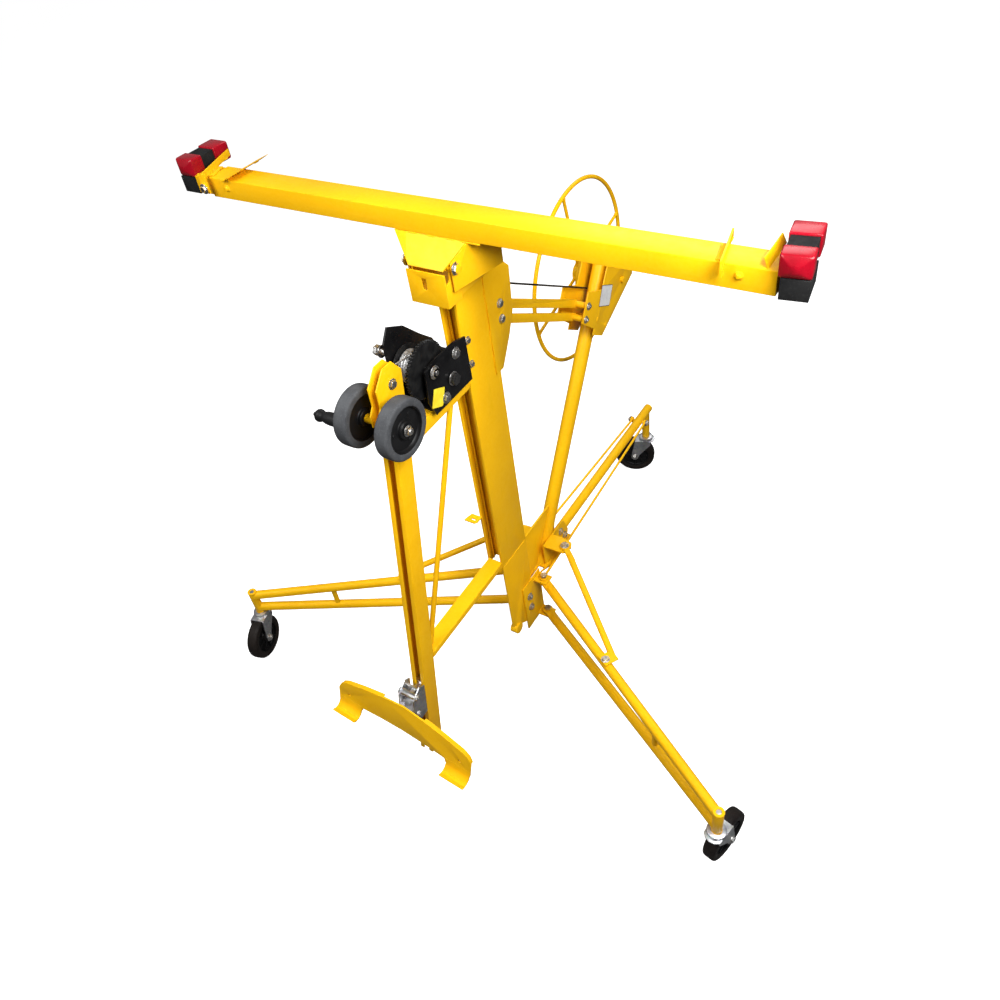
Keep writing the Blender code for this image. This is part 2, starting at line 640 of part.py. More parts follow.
def winch_handwheel():
    """Thin-rod handwheel with four spokes, hub and the winch shaft."""
    centre = Vector((HANDWHEEL_X, WHEEL_CENTRE.y, WHEEL_CENTRE.z))
    section = [(HANDWHEEL_R + 0.0052 * math.cos(a), 0.0052 * math.sin(a))
               for a in [2.0 * math.pi * i / 8 for i in range(8)]]
    rim = lathe("rim", centre, X_AXIS, section, 48)
    pieces = [rim]
    for i in range(4):
        angle = math.radians(SPOKE_START_DEG + 90.0 * i)
        out = Vector((0.0, math.cos(angle), math.sin(angle)))
        pieces.append(rod("spoke", centre, centre + out * HANDWHEEL_R, 0.0042, 8))
    hub = rod("hub", centre - X_AXIS * 0.008, centre + X_AXIS * 0.0150, 0.0260, ROUND)
    shaft_start = centre - X_AXIS * 0.014
    shaft_end = Vector((WINCH_PLATE_X + 0.008, centre.y, centre.z))
    pieces.append(hub)
    pieces.append(rod("shaft", shaft_start, shaft_end, WINCH_SHAFT_R, ROUND))
    return assemble("winch_handwheel", pieces)


def winch_brake_drum():
    """Round brake housing between the handwheel and the left plate."""
    bore = WINCH_SHAFT_R + PIN_PLAY * 3
    profile = [
        (bore, -0.0660), (0.0300, -0.0660), (0.0340, -0.0620), (0.0690, -0.0600), (0.0730, -0.0560),
        (0.0730, -0.0420), (0.0700, -0.0385), (bore, -0.0385),
    ]
    return lathe("winch_brake_drum", WHEEL_CENTRE, X_AXIS, profile, 32)


def winch_cable_drum():
    """Flanged drum between the winch plates, wound with cable."""
    bore = WINCH_SHAFT_R + PIN_PLAY * 3
    profile = [
        (bore, -0.0320), (0.0450, -0.0320), (0.0450, -0.0300), (0.0310, -0.0290), (0.0310, 0.0290),
        (0.0450, 0.0300), (0.0450, 0.0320), (bore, 0.0320),
    ]
    return lathe("winch_cable_drum", WHEEL_CENTRE, X_AXIS, profile, 28)


def lift_cable():
    """Straight run of lift cable from the rear winch to the mast."""
    start = Vector((-0.0060, MAST_HALF_Y + 0.0018, 1.127))
    run = (WHEEL_CENTRE - start).normalized()
    below = X_AXIS.cross(run).normalized() * -0.0342
    return rod("lift_cable", start, WHEEL_CENTRE + below - X_AXIS * 0.0250, 0.0022, 8)


# ---------------------------------------------------------------- loader


def track_frame():
    """Placement of the track: local x to the right, y to the rear, z up the track."""
    return frame_at(TRACK_FOOT, X_AXIS, TRACK_REAR, TRACK_DIR)


def track_rear_y(z):
    """Y of the track's rear face at a height."""
    front_y = TRACK_FOOT.y + (z - TRACK_FOOT.z) * TRACK_DIR.y / TRACK_DIR.z
    return front_y + TRACK_DEPTH / TRACK_DIR.z


def loader_arm():
    """Upper arm from the mast to the track, carrying the hand winch."""
    low_z, high_z = 0.953, 0.983
    front = -MAST_HALF_Y - GAP
    outline = [
        (front, low_z), (front, high_z),
        (track_rear_y(high_z) + GAP * 2, high_z), (track_rear_y(low_z) + GAP * 2, low_z),
    ]
    shell = prism("arm", YZ_FRAME, outline, -0.0210, 0.0210)
    hollow = block("hollow", (-0.0180, -0.300, 0.900), (0.0180, -0.040, high_z - 0.003))
    return assemble("loader_arm", [shell], [hollow])


def loader_strut():
    """Lower strut between the mast and the track, a shallow inverted channel."""
    low_z, high_z = 0.404, 0.420
    front = -MAST_HALF_Y - GAP
    outline = [
        (front, low_z), (front, high_z),
        (track_rear_y(high_z) + GAP * 2, high_z), (track_rear_y(low_z) + GAP * 2, low_z),
    ]
    shell = prism("strut", YZ_FRAME, outline, -0.0190, 0.0190)
    hollow = block("hollow", (-0.0160, -0.400, 0.350), (0.0160, -0.040, high_z - 0.003))
    return assemble("loader_strut", [shell], [hollow])


def loader_stay_rod():
    """Thin diagonal rod from the arm down to the strut."""
    start = Vector((0.0, -0.0850, 0.9768))
    end = Vector((0.0, -0.3350, 0.4230))
    return rod("loader_stay_rod", start, end, 0.0060, 12)


def loader_track():
    """C channel the panel carriage runs in."""
    outline = channel_outline(TRACK_HALF_X, 0.0, TRACK_DEPTH, 0.0025, 0.0070)
    return prism("loader_track", track_frame(), outline, 0.0, TRACK_LENGTH)


def roller_bracket():
    """Bracket on top of the track with the roller axle and the pulley bolt."""
    frame = track_frame()
    top = TRACK_LENGTH + GAP
    cap = block("cap", (-0.0180, 0.0, top), (0.0180, TRACK_DEPTH, top + 0.004), frame)
    outline = [
        (-0.312, 1.0330), (-0.312, 1.0560), (-0.300, 1.0720), (-0.300, 1.1080), (-0.272, 1.1380),
        (-0.246, 1.1380), (-0.226, 1.1100), (-0.2340, 1.0500), (-0.2440, 1.0245), (-0.2860, 1.0320),
    ]
    pieces = [cap]
    for low, high in ((-0.0105, -0.0075), (0.0075, 0.0105)):
        pieces.append(prism("cheek", YZ_FRAME, outline, low, high))
    pieces.append(rod("axle", ROLLER_AXLE - X_AXIS * 0.066, ROLLER_AXLE + X_AXIS * 0.066, 0.0055))
    for side in (-1, 1):
        at = ROLLER_AXLE + X_AXIS * side * 0.0625
        pieces.append(hex_head("nut", at, X_AXIS * side, 0.0080, 0.0060))
        at = ROLLER_AXLE + X_AXIS * side * 0.0090
        pieces.append(rod("collar", at, at + X_AXIS * side * 0.0215, 0.0085))
    pieces.append(rod("pulley_bolt", PULLEY_AXLE - X_AXIS * 0.015, PULLEY_AXLE + X_AXIS * 0.015, 0.0040))
    for side in (-1, 1):
        at = PULLEY_AXLE + X_AXIS * side * 0.0100
        pieces.append(hex_head("nut", at, X_AXIS * side, 0.0075, 0.0055))
    return assemble("roller_bracket", pieces)


def cable_pulley():
    """Grooved pulley between the bracket cheeks."""
    rim_r, groove_r = PULLEY_R + 0.003, PULLEY_R - 0.001
    profile = [
        (0.0042, -0.0060), (rim_r, -0.0060), (groove_r, -0.0010), (groove_r, 0.0010),
        (rim_r, 0.0060), (0.0042, 0.0060),
    ]
    return lathe("cable_pulley", PULLEY_AXLE, X_AXIS, profile, 24)


def panel_roller(side):
    """Rubber-tyred roller the panel rests against."""
    centre = ROLLER_AXLE + X_AXIS * side * 0.0465
    out = X_AXIS * side
    profile = [
        (0.0056, -0.0145), (0.0160, -0.0145), (0.0170, -0.0100), (0.0430, -0.0100), (0.0440, -0.0145),
        (0.0560, -0.0145), (ROLLER_R, -0.0115), (ROLLER_R, 0.0115), (0.0560, 0.0145),
        (0.0440, 0.0145), (0.0430, 0.0090), (0.0170, 0.0090), (0.0160, 0.0145), (0.0056, 0.0145),
    ]
    return lathe("panel_roller_" + side_name(side), centre, out, profile, 24)


def loader_winch_frame():
    """Black winch frame: left housing plate, right plate and a foot joining them."""
    left_outline = [
        (-0.190, 0.9835), (-0.062, 0.9835), (-0.062, 1.040), (-0.080, 1.075), (-0.112, 1.104),
        (-0.151, 1.144), (-0.194, 1.166), (-0.213, 1.140), (-0.213, 1.085), (-0.200, 1.020),
    ]
    right_outline = [
        (-0.186, 0.9835), (-0.062, 0.9835), (-0.062, 1.082), (-0.100, 1.092), (-0.160, 1.094),
        (-0.194, 1.086), (-0.200, 1.020),
    ]
    left = prism("left", YZ_FRAME, left_outline, -0.0350, -0.0315)
    right = prism("right", YZ_FRAME, right_outline, 0.0315, 0.0350)
    foot = block("foot", (-0.0345, -0.180, 0.9835), (0.0345, -0.066, 0.9870))
    pieces = [left, foot, right]
    for y, z in ((-0.0986, 1.0680), (-0.1500, 0.9990)):
        pieces.append(rod("stay", Vector((-0.0410, y, z)), Vector((0.0410, y, z)), 0.0050, 12))
        pieces.append(hex_head("head", Vector((0.0345, y, z)), X_AXIS, 0.0085, 0.0060))
    pawl = Vector((-0.0600, -0.206, 1.120))
    pieces.append(rod("pawl_bolt", pawl - X_AXIS * 0.0020, pawl + X_AXIS * 0.0270, 0.0060, 12))
    pieces.append(hex_head("pawl_nut", pawl, X_AXIS, 0.0100, 0.0090))
    shaft_play = PIN_PLAY * 3
    cutters = []
    for axle, radius in ((DRUM_AXLE, 0.0070), (CRANK_AXLE, 0.0070)):
        cutters.append(rod("bore", axle - X_AXIS * 0.1, axle + X_AXIS * 0.1, radius + shaft_play, ROUND))
    return assemble("loader_winch_frame", pieces, cutters)


def toothed_outline(teeth, pitch_r, turn):
    """Outline of a spur gear with straight-sided teeth and running clearance."""
    points = []
    step = 2.0 * math.pi / teeth
    for i in range(teeth):
        base = turn + step * i
        for share, radius in ((-0.30, pitch_r - 0.0022), (-0.13, pitch_r + 0.0015),
                              (0.13, pitch_r + 0.0015), (0.30, pitch_r - 0.0022)):
            angle = base + share * step
            points.append((radius * math.cos(angle), radius * math.sin(angle)))
    return points


def gear_pitch_radii():
    """Pitch radii of the winch gear and pinion from their tooth counts and shaft distance."""
    distance = (CRANK_AXLE - DRUM_AXLE).length
    gear_r = distance * GEAR_TEETH / (GEAR_TEETH + PINION_TEETH)
    return gear_r, distance - gear_r


def loader_drum():
    """Cable drum with its large spur gear and shaft."""
    gear_r, _ = gear_pitch_radii()
    frame = frame_at(DRUM_AXLE, Y_AXIS, Z_AXIS, X_AXIS)
    towards = CRANK_AXLE - DRUM_AXLE
    mesh_angle = math.atan2(towards.z, towards.y)
    gear = prism("gear", frame, toothed_outline(GEAR_TEETH, gear_r, mesh_angle), 0.0140, 0.0200)
    shaft = rod("shaft", DRUM_AXLE - X_AXIS * 0.0400, DRUM_AXLE + X_AXIS * 0.0400, 0.0070)
    core = rod("core", DRUM_AXLE - X_AXIS * 0.0240, DRUM_AXLE + X_AXIS * 0.0150, 0.0200, ROUND)
    flange = rod("flange", DRUM_AXLE - X_AXIS * 0.0270, DRUM_AXLE - X_AXIS * 0.0240, 0.0420, 28)
    wound = rod("wound", DRUM_AXLE - X_AXIS * 0.0235, DRUM_AXLE + X_AXIS * 0.0080, 0.0300, ROUND)
    head = hex_head("head", DRUM_AXLE + X_AXIS * 0.0385, X_AXIS, 0.0100, 0.0060)
    collar = rod("collar", DRUM_AXLE + X_AXIS * 0.0070, DRUM_AXLE + X_AXIS * 0.0145, 0.0420, 28)
    return assemble("loader_drum", [core, gear, flange, wound, collar, shaft, head])


def winch_crank():
    """Pinion shaft, crank arm and grip pin of the hand winch."""
    _, pinion_r = gear_pitch_radii()
    frame = frame_at(CRANK_AXLE, Y_AXIS, Z_AXIS, X_AXIS)
    towards = DRUM_AXLE - CRANK_AXLE
    mesh_angle = math.atan2(towards.z, towards.y) + math.pi / PINION_TEETH
    pinion = prism("pinion", frame, toothed_outline(PINION_TEETH, pinion_r, mesh_angle), 0.0130, 0.0210)
    shaft = rod("shaft", CRANK_AXLE - X_AXIS * 0.0760, CRANK_AXLE + X_AXIS * 0.0420, 0.0070)
    nut = hex_head("nut", CRANK_AXLE + X_AXIS * 0.0380, X_AXIS, 0.0125, 0.0090)
    arm_start = CRANK_AXLE - X_AXIS * 0.0735
    arm_end = Vector((CRANK_END.x + 0.002, CRANK_END.y, CRANK_END.z))
    along = (arm_end - arm_start).normalized()
    across = X_AXIS.cross(along).normalized()
    arm_frame = frame_at(arm_start, along, across, along.cross(across))
    length = (arm_end - arm_start).length
    arm = block("arm", (-0.012, -0.0110, -0.0030), (length + 0.010, 0.0110, 0.0030), arm_frame)
    pin_end = Vector((GRIP_END_X - 0.002, CRANK_END.y, CRANK_END.z))
    pin = rod("pin", CRANK_END + X_AXIS * 0.004, pin_end, 0.0045)
    return assemble("winch_crank", [shaft, pinion, nut, arm, pin])


def crank_grip():
    """Turned grip that spins on the crank pin."""
    length = GRIP_START_X - GRIP_END_X
    profile = [
        (0.0048, 0.0), (0.0120, 0.0), (0.0135, 0.006), (0.0110, 0.016), (0.0125, 0.045), (0.0145, 0.075),
        (0.0120, length - 0.004), (0.0048, length - 0.004),
    ]
    return lathe("crank_grip", Vector((GRIP_START_X, CRANK_END.y, CRANK_END.z)), -X_AXIS, profile, 20)


def loader_cable():
    """Straight run of cable from the hand winch to the top pulley."""
    start = DRUM_AXLE + Vector((-0.006, -0.012, 0.0318))
    end = PULLEY_AXLE + Vector((0.0, 0.006, 0.0228))
    return rod("loader_cable", start, end, 0.0020, 8)


def panel_carriage():
    """Trolley in the track mouth: slide, neck, side plates, rollers and the boss of the carrier bar."""
    frame = track_frame()
    low, high = 0.165, 0.235
    slide = block("slide", (-0.0145, 0.0045, low), (0.0145, 0.0340, high), frame)
    neck = block("neck", (-0.0055, -0.0300, low + 0.004), (0.0055, 0.0080, high - 0.004), frame)
    bridge = block("bridge", (-0.0200, -0.0180, low + 0.001), (0.0200, -0.0120, high - 0.001), frame)
    pieces = [neck, slide, bridge]
    outline = [
        (-0.052, low + 0.010), (-0.040, low - 0.012), (-0.006, low - 0.006), (-0.006, high + 0.010),
        (-0.024, high + 0.018), (-0.048, high - 0.006),
    ]
    for x in (-0.0220, 0.0190):
        side = frame_at(frame @ Vector((x, 0.0, 0.0)), TRACK_REAR, TRACK_DIR, X_AXIS)
        pieces.append(prism("plate", side, outline, 0.0, 0.003))
    for h in (low + 0.014, high - 0.004):
        start = frame @ Vector((-0.0265, -0.0360, h))
        end = frame @ Vector((0.0265, -0.0360, h))
        pieces.append(rod("roller", start, end, 0.0075))
    back = -CARRIER_REACH + GAP
    boss = block("boss", (-0.0200, back, low - 0.008), (0.0200, -0.0290, low + 0.040), frame)
    pieces.append(boss)
    pivot = frame @ Vector((0.0, 0.0, CARRIER_PIVOT_H))
    bore_end = pivot - TRACK_REAR * (CARRIER_REACH - 0.0130)
    bore = rod("bore", pivot - TRACK_REAR * 0.100, bore_end, 0.0063, ROUND)
    return assemble("panel_carriage", pieces, [bore])


def carrier_frame():
    """Placement of the carrier bar: local x along it, y up, z towards the panel, about its pivot."""
    roll = math.radians(CARRIER_ROLL_DEG)
    across = X_AXIS * math.cos(roll) - TRACK_DIR * math.sin(roll)
    up = TRACK_DIR * math.cos(roll) + X_AXIS * math.sin(roll)
    pivot = track_frame() @ Vector((0.0, -CARRIER_REACH, CARRIER_PIVOT_H))
    return frame_at(pivot, across, up, -TRACK_REAR)


def carrier_bar():
    """Arched plate with two forward J hooks that lift the lower edge of a panel, and its pivot stud."""
    frame = carrier_frame()
    half = [
        (0.0, 0.0420), (0.056, 0.0340), (0.110, 0.0215), (0.163, 0.0060), (0.179, -0.0050), (0.187, -0.0220),
        (0.187, -0.0660), (0.120, -0.0660), (0.1165, -0.0540), (0.060, -0.0480),
    ]
    outline = half + [(0.0, -0.0455)] + [(-x, h) for x, h in reversed(half[1:])]
    plate = prism("plate", frame, outline, 0.0, 0.0040)
    pieces = [plate]
    cutters = []
    for side in (-1, 1):
        edge = [(0.0570, 0.0334), (0.1100, 0.0211), (0.1620, 0.0056), (0.1780, -0.0054), (0.1860, -0.0222)]
        inner = [(0.1825, -0.0215), (0.1750, -0.0070), (0.1600, 0.0020), (0.1090, 0.0173), (0.0572, 0.0294)]
        strip = [(side * x, h) for x, h in edge + inner]
        pieces.append(prism("flange", frame, strip, -0.0070, 0.0010))
        lip = [
            (0.0005, -0.0500), (0.0005, -0.0660), (0.0045, -0.0790), (0.0130, -0.0860), (0.0230, -0.0870),
            (0.0320, -0.0820), (0.0300, -0.0790), (0.0225, -0.0832), (0.0145, -0.0824), (0.0082, -0.0768),
            (0.0042, -0.0655), (0.0042, -0.0500),
        ]
        side_frame = frame @ frame_at(Vector((0.0, 0.0, 0.0)), Z_AXIS, Y_AXIS, -X_AXIS)
        xs = sorted((side * -0.1215, side * -0.1862))
        pieces.append(prism("lip", side_frame, lip, xs[0], xs[1]))
        hole = Vector((side * 0.1563, -0.0330, -0.020))
        cutters.append(rod("hole", frame @ hole, frame @ (hole + Z_AXIS * 0.040), 0.0040))
    pieces.append(rod("stud", frame @ Vector((0, 0, 0.0020)), frame @ Vector((0, 0, -0.0110)), 0.0060, ROUND))
    return assemble("carrier_bar", pieces, cutters)


# ---------------------------------------------------------------- head


def head_box():
    """Fixed box on the inner stage that holds the tilt pivot."""
    half = BOX_HALF_X
    front = block("front", (-half, -0.1005, 1.1640), (half, -0.0975, 1.2300))
    side_outline = [
        (-0.1000, 1.1640), (-0.0580, 1.1640), (-0.0580, 1.1700), (0.0300, 1.1700), (0.0300, 1.2000),
        (-0.0600, 1.2260), (-0.0692, 1.2370), (-0.0730, 1.2436), (-0.0790, 1.2450), (-0.0840, 1.2420),
        (-0.0860, 1.2370), (-0.0836, 1.2290), (-0.0840, 1.2180), (-0.0880, 1.2120), (-0.1000, 1.2080),
    ]
    floor = block("floor", (-half + 0.001, -0.0980, INNER_TOP_Z + GAP), (half - 0.001, 0.0300, 1.1840))
    pieces = [front, floor]
    for low, high in ((-half, -half + 0.003), (half - 0.003, half)):
        pieces.append(prism("side", YZ_FRAME, side_outline, low, high))
    pin_r = 0.0050 + PIN_PLAY * 3
    cutters = [
        rod("pivot_hole", HEAD_PIVOT - X_AXIS * 0.1, HEAD_PIVOT + X_AXIS * 0.1, pin_r, ROUND),
        block("latch_slot", (-0.0110, -0.110, 1.1990), (0.0000, -0.090, 1.2180)),
        rod("round_hole", Vector((-0.0055, -0.110, 1.1990)), Vector((-0.0055, -0.090, 1.1990)), 0.0055),
    ]
    return assemble("head_box", pieces, cutters)


def tilt_hood():
    """Folded sheet hood under the beam with pivot ears, flared sides and the pivot bolt."""
    low_y, low_z = -0.0965, 1.2365
    high_y, high_z = BEAM_FRONT_Y, BEAM_LOW_Z - GAP
    slope = Vector((0.0, high_y - low_y, high_z - low_z))
    up = slope.normalized()
    frame = frame_at(Vector((0.0, low_y, low_z)), X_AXIS, up, X_AXIS.cross(up))
    length = slope.length
    outline = [(-0.0375, 0.0), (0.0375, 0.0), (0.0640, length), (-0.0940, length)]
    front = prism("front", frame, outline, -0.0030, 0.0)
    top_low = (-0.0925, BEAM_FRONT_Y - 0.0010, high_z - 0.0030)
    top = block("top", top_low, (0.0925, BEAM_REAR_Y, high_z - 0.0002))
    pieces = [front, top]
    ear_outline = [
        (-0.0700, 1.2310), (-0.0655, 1.2420), (-0.0530, 1.2690), (-0.0600, 1.2645), (-0.0880, 1.2415),
        (-0.0865, 1.2325), (-0.0800, 1.2280),
    ]
    for low, high in ((-0.0368, -0.0343), (0.0343, 0.0368)):
        pieces.append(prism("ear", YZ_FRAME, ear_outline, low, high))
    for side in (-1, 1):
        start = Vector((side * 0.0461, -0.0837, 0.0))
        end = Vector((side * 0.0945, BEAM_REAR_Y + 0.0010, 0.0))
        along = (end - start).normalized()
        flare_frame = frame_at(start, along, Z_AXIS, along.cross(Z_AXIS))
        reach = (end - start).length
        fold = reach * (BEAM_FRONT_Y - start.y) / (end.y - start.y)
        flare_top = high_z - 0.0010
        flare = [(0.0, 1.1920), (reach, 1.2120), (reach, flare_top), (fold, flare_top), (0.0, 1.2461)]
        low, high = (0.0, 0.003) if side > 0 else (-0.003, 0.0)
        pieces.append(prism("flare", flare_frame, flare, low, high))
    pieces.append(rod("bolt", HEAD_PIVOT - X_AXIS * 0.0570, HEAD_PIVOT + X_AXIS * 0.0570, 0.0050))
    for side in (-1, 1):
        at = HEAD_PIVOT + X_AXIS * side * 0.0535
        pieces.append(hex_head("head", at, X_AXIS * side, 0.0090, 0.0065))
    return assemble("tilt_hood", pieces)


def cross_beam():
    """Rectangular tube along the head, open at both ends."""
    shell = block("beam", (BEAM_LEFT_X, BEAM_FRONT_Y, BEAM_LOW_Z), (BEAM_RIGHT_X, BEAM_REAR_Y, BEAM_TOP_Z))
    hollow = block(
        "hollow",
        (BEAM_LEFT_X - 0.01, BEAM_FRONT_Y + BEAM_WALL, BEAM_LOW_Z + BEAM_WALL),
        (BEAM_RIGHT_X + 0.01, BEAM_REAR_Y - BEAM_WALL, BEAM_TOP_Z - BEAM_WALL),
    )
    return assemble("cross_beam", [shell], [hollow])


def turned_frame(x, y, yaw_deg):
    """Upright placement turned about the vertical."""
    return Matrix.Translation(Vector((x, y, 0.0))) @ Matrix.Rotation(math.radians(yaw_deg), 4, "Z")


def end_flange_left():
    """Thin upright plate on top of the beam's left end, with its front lug, bolt and washer."""
    frame = turned_frame(-0.5610, -0.0630, 19.6)
    low_z = BEAM_TOP_Z + GAP
    plate = block("plate", (-0.0030, 0.0000, low_z), (0.0, 0.1240, low_z + 0.0132), frame)
    foot = block("foot", (-0.0010, 0.020, low_z), (0.0130, 0.062, low_z + 0.0020), frame)
    lug = block("lug", (-0.5740, -0.0640, 1.2870), (-0.5560, -0.0612, low_z + 0.0122))
    washer_at = Vector((-0.5650, -0.0630, 1.2980))
    washer = rod("washer", washer_at, washer_at - Y_AXIS * 0.0050, 0.0105, 16)
    head = hex_head("head", washer_at - Y_AXIS * 0.0040, -Y_AXIS, 0.0068, 0.0055)
    return assemble("end_flange_left", [plate, foot, lug, washer, head])


def end_flange_right():
    """Thin upright plate across the beam near its right end, hooked over the front edge."""
    frame = turned_frame(0.5280, -0.0700, 10.6)
    low_z = BEAM_TOP_Z + GAP
    top_z = low_z + 0.0132
    side = frame @ frame_at(Vector((-0.0030, 0.0, 0.0)), Y_AXIS, Z_AXIS, X_AXIS)
    outline = [
        (0.0, 1.3000), (0.0160, 1.3000), (0.0160, low_z), (0.1020, low_z), (0.1020, top_z), (0.0, top_z),
    ]
    plate = prism("plate", side, outline, 0.0, 0.0030)
    foot = block("foot", (-0.0130, 0.026, low_z + 0.0001), (-0.0020, 0.072, low_z + 0.0020), frame)
    return assemble("end_flange_right", [plate, foot])


def edge_rest(name, foot, tip, rise, front_y, rear_y):
    """Strip welded across the beam top, leaning inward, that keeps a panel edge in place.

    foot and tip each give the strip's low and high x, on the beam and along its upper edge.
    """
    low_z = BEAM_TOP_Z + GAP
    top_z = low_z + rise
    outline = [(foot[0], low_z), (foot[1], low_z), (tip[1], top_z), (tip[0], top_z)]
    frame = frame_at(Vector((0.0, 0.0, 0.0)), X_AXIS, Z_AXIS, -Y_AXIS)
    return prism(name, frame, outline, -rear_y, -front_y)


def arm_extension(side, outer_x, inner_x):
    """Channel that slides inside the end of the beam and carries the end pad."""
    play = BEAM_WALL + GAP
    front, rear = BEAM_FRONT_Y + play, BEAM_REAR_Y - play
    low, high = BEAM_LOW_Z + play, BEAM_TOP_Z - play
    wall = 0.0020
    outline = [
        (front, low), (front + wall, low), (front + wall, high - wall), (rear - wall, high - wall),
        (rear - wall, low), (rear, low), (rear, high), (front, high),
    ]
    start, end = sorted((outer_x, inner_x))
    return prism("arm_extension_" + side_name(side), YZ_FRAME, outline, start, end)


def pad_cap(name, frame, y_open, y_end):
    """Red end cap: a short square block with a low pyramid on its outer end."""
    direction = 1.0 if y_end > y_open else -1.0
    builder = bmesh.new()
    a, b = PAD_HALF_X, PAD_HALF_Z
    square = [(-a, -b), (a, -b), (a, b), (-a, b)]
    shoulder_y = y_end - direction * 0.0080
    inner = [builder.verts.new(frame @ Vector((x, y_open, z))) for x, z in square]
    outer = [builder.verts.new(frame @ Vector((x, shoulder_y, z))) for x, z in square]
    tip = [builder.verts.new(frame @ Vector((x * 0.35, y_end, z * 0.35))) for x, z in square]
    builder.faces.new(inner)
    builder.faces.new(tip)
    for i in range(4):
        j = (i + 1) % 4
        builder.faces.new((inner[i], inner[j], outer[j], outer[i]))
        builder.faces.new((outer[i], outer[j], tip[j], tip[i]))
    return finish_mesh(name, builder)


def pad_core(name, frame, foot_half_x):
    """Black rubber core between the caps, with a foot that runs under the front cap."""
    under = -PAD_HALF_Z - GAP
    core = block(
        "core",
        (-PAD_HALF_X + 0.0030, PAD_CORE_FRONT, -PAD_HALF_Z + 0.0005),
        (PAD_HALF_X - 0.0030, PAD_CORE_REAR, PAD_HALF_Z - 0.0030),
        frame,
    )
    neck = block(
        "neck",
        (-foot_half_x + 0.0012, PAD_CORE_FRONT + 0.0020, under - 0.0040),
        (PAD_HALF_X - 0.0060, PAD_CORE_REAR - 0.0060, -PAD_HALF_Z + 0.0100),
        frame,
    )
    foot = block(
        "foot",
        (-foot_half_x, PAD_FRONT + 0.0060, under - 0.0330),
        (PAD_HALF_X - 0.0005, PAD_CORE_REAR - 0.0040, under),
        frame,
    )
    return assemble(name, [core, neck, foot])


def end_pad(side, x, y, z, yaw):
    """Complete pad at one end of the beam: core and two caps."""
    label = side_name(side)
    frame = Matrix.Translation(Vector((x, y, z))) @ Matrix.Rotation(math.radians(yaw), 4, "Z")
    foot_half_x = PAD_HALF_X - 0.0005 if side < 0 else PAD_HALF_X - 0.0045
    pad_core("pad_core_" + label, frame, foot_half_x)
    pad_cap("pad_cap_front_" + label, frame, PAD_CORE_FRONT - GAP, PAD_FRONT)
    pad_cap("pad_cap_rear_" + label, frame, PAD_CORE_REAR + GAP, PAD_REAR)


def build_mast():
    mast_outer_channel()
    mast_base_section()
    for side in (-1, 1):
        mast_ear(side)
    middle_mast_stage()
    inner_mast_stage()


def build_tripod():
    rear_hub_bracket()
    back_leg()
    for side in (-1, 1):
        leg_hinge_bracket(side)
        side_leg(side)
        side_brace(side)
        tie_rod(side)
    for name, foot, degrees in caster_places():
        caster_fork(name, foot, degrees)
        caster_wheel(name, foot, degrees)


def build_rear_winch():
    winch_post()
    rear_winch_frame()
    brace_bar("winch_brace_upper", 1.0665, 0.6690)
    brace_bar("winch_brace_lower", 1.0305, 0.6370)
    winch_handwheel()
    winch_brake_drum()
    winch_cable_drum()
    lift_cable()


def build_loader():
    loader_arm()
    loader_strut()
    loader_stay_rod()
    loader_track()
    roller_bracket()
    cable_pulley()
    for side in (-1, 1):
        panel_roller(side)
    loader_winch_frame()
    loader_drum()
    winch_crank()
    crank_grip()
    loader_cable()
    panel_carriage()
    carrier_bar()


def build_head():
    head_box()
    tilt_hood()
    cross_beam()
    end_flange_left()
    end_flange_right()
    edge_rest("edge_rest_left", (-0.5200, -0.5120), (-0.4895, -0.4870), 0.0125, -0.0580, 0.0560)
    edge_rest("edge_rest_right", (0.5845, 0.5892), (0.5797, 0.5820), 0.0148, -0.0450, 0.0340)
    arm_extension(-1, LEFT_PAD_X + PAD_HALF_X + GAP, -0.2000)
    arm_extension(1, BEAM_RIGHT_X - 0.0002, 0.2400)
    end_pad(-1, LEFT_PAD_X, LEFT_PAD_Y, LEFT_PAD_Z, 0.0)
    end_pad(1, RIGHT_PAD_X, RIGHT_PAD_Y, RIGHT_PAD_Z, PAD_YAW_DEG)


PAINTS = {
    "yellow_paint": ((0.85, 0.50, 0.02), 0.38, 0.0),
    "black_paint": ((0.020, 0.020, 0.022), 0.35, 0.0),
    "zinc_plate": ((0.55, 0.56, 0.57), 0.35, 1.0),
    "black_gear": ((0.030, 0.030, 0.032), 0.45, 0.6),
    "dark_steel": ((0.23, 0.23, 0.24), 0.40, 1.0),
    "red_cap": ((0.45, 0.010, 0.030), 0.30, 0.0),
    "black_rubber": ((0.012, 0.012, 0.012), 0.85, 0.0),
    "roller_rubber": ((0.060, 0.064, 0.068), 0.75, 0.0),
    "caster_tyre": ((0.018, 0.016, 0.015), 0.60, 0.0),
    "grip_plastic": ((0.015, 0.015, 0.015), 0.50, 0.0),
    "wire_rope": ((0.45, 0.45, 0.46), 0.45, 1.0),
}

NODE_PAINTS = {
    "black_paint": ["loader_winch_frame"],
    "zinc_plate": ["caster_fork_left", "caster_fork_right", "caster_fork_rear", "panel_carriage"],
    "black_gear": ["loader_drum"],
    "dark_steel": ["winch_crank", "cable_pulley"],
    "red_cap": ["pad_cap_front_left", "pad_cap_rear_left", "pad_cap_front_right", "pad_cap_rear_right"],
    "black_rubber": ["pad_core_left", "pad_core_right"],
    "roller_rubber": ["panel_roller_left", "panel_roller_right"],
    "caster_tyre": ["caster_wheel_left", "caster_wheel_right", "caster_wheel_rear"],
    "grip_plastic": ["crank_grip"],
    "wire_rope": ["lift_cable", "loader_cable"],
}


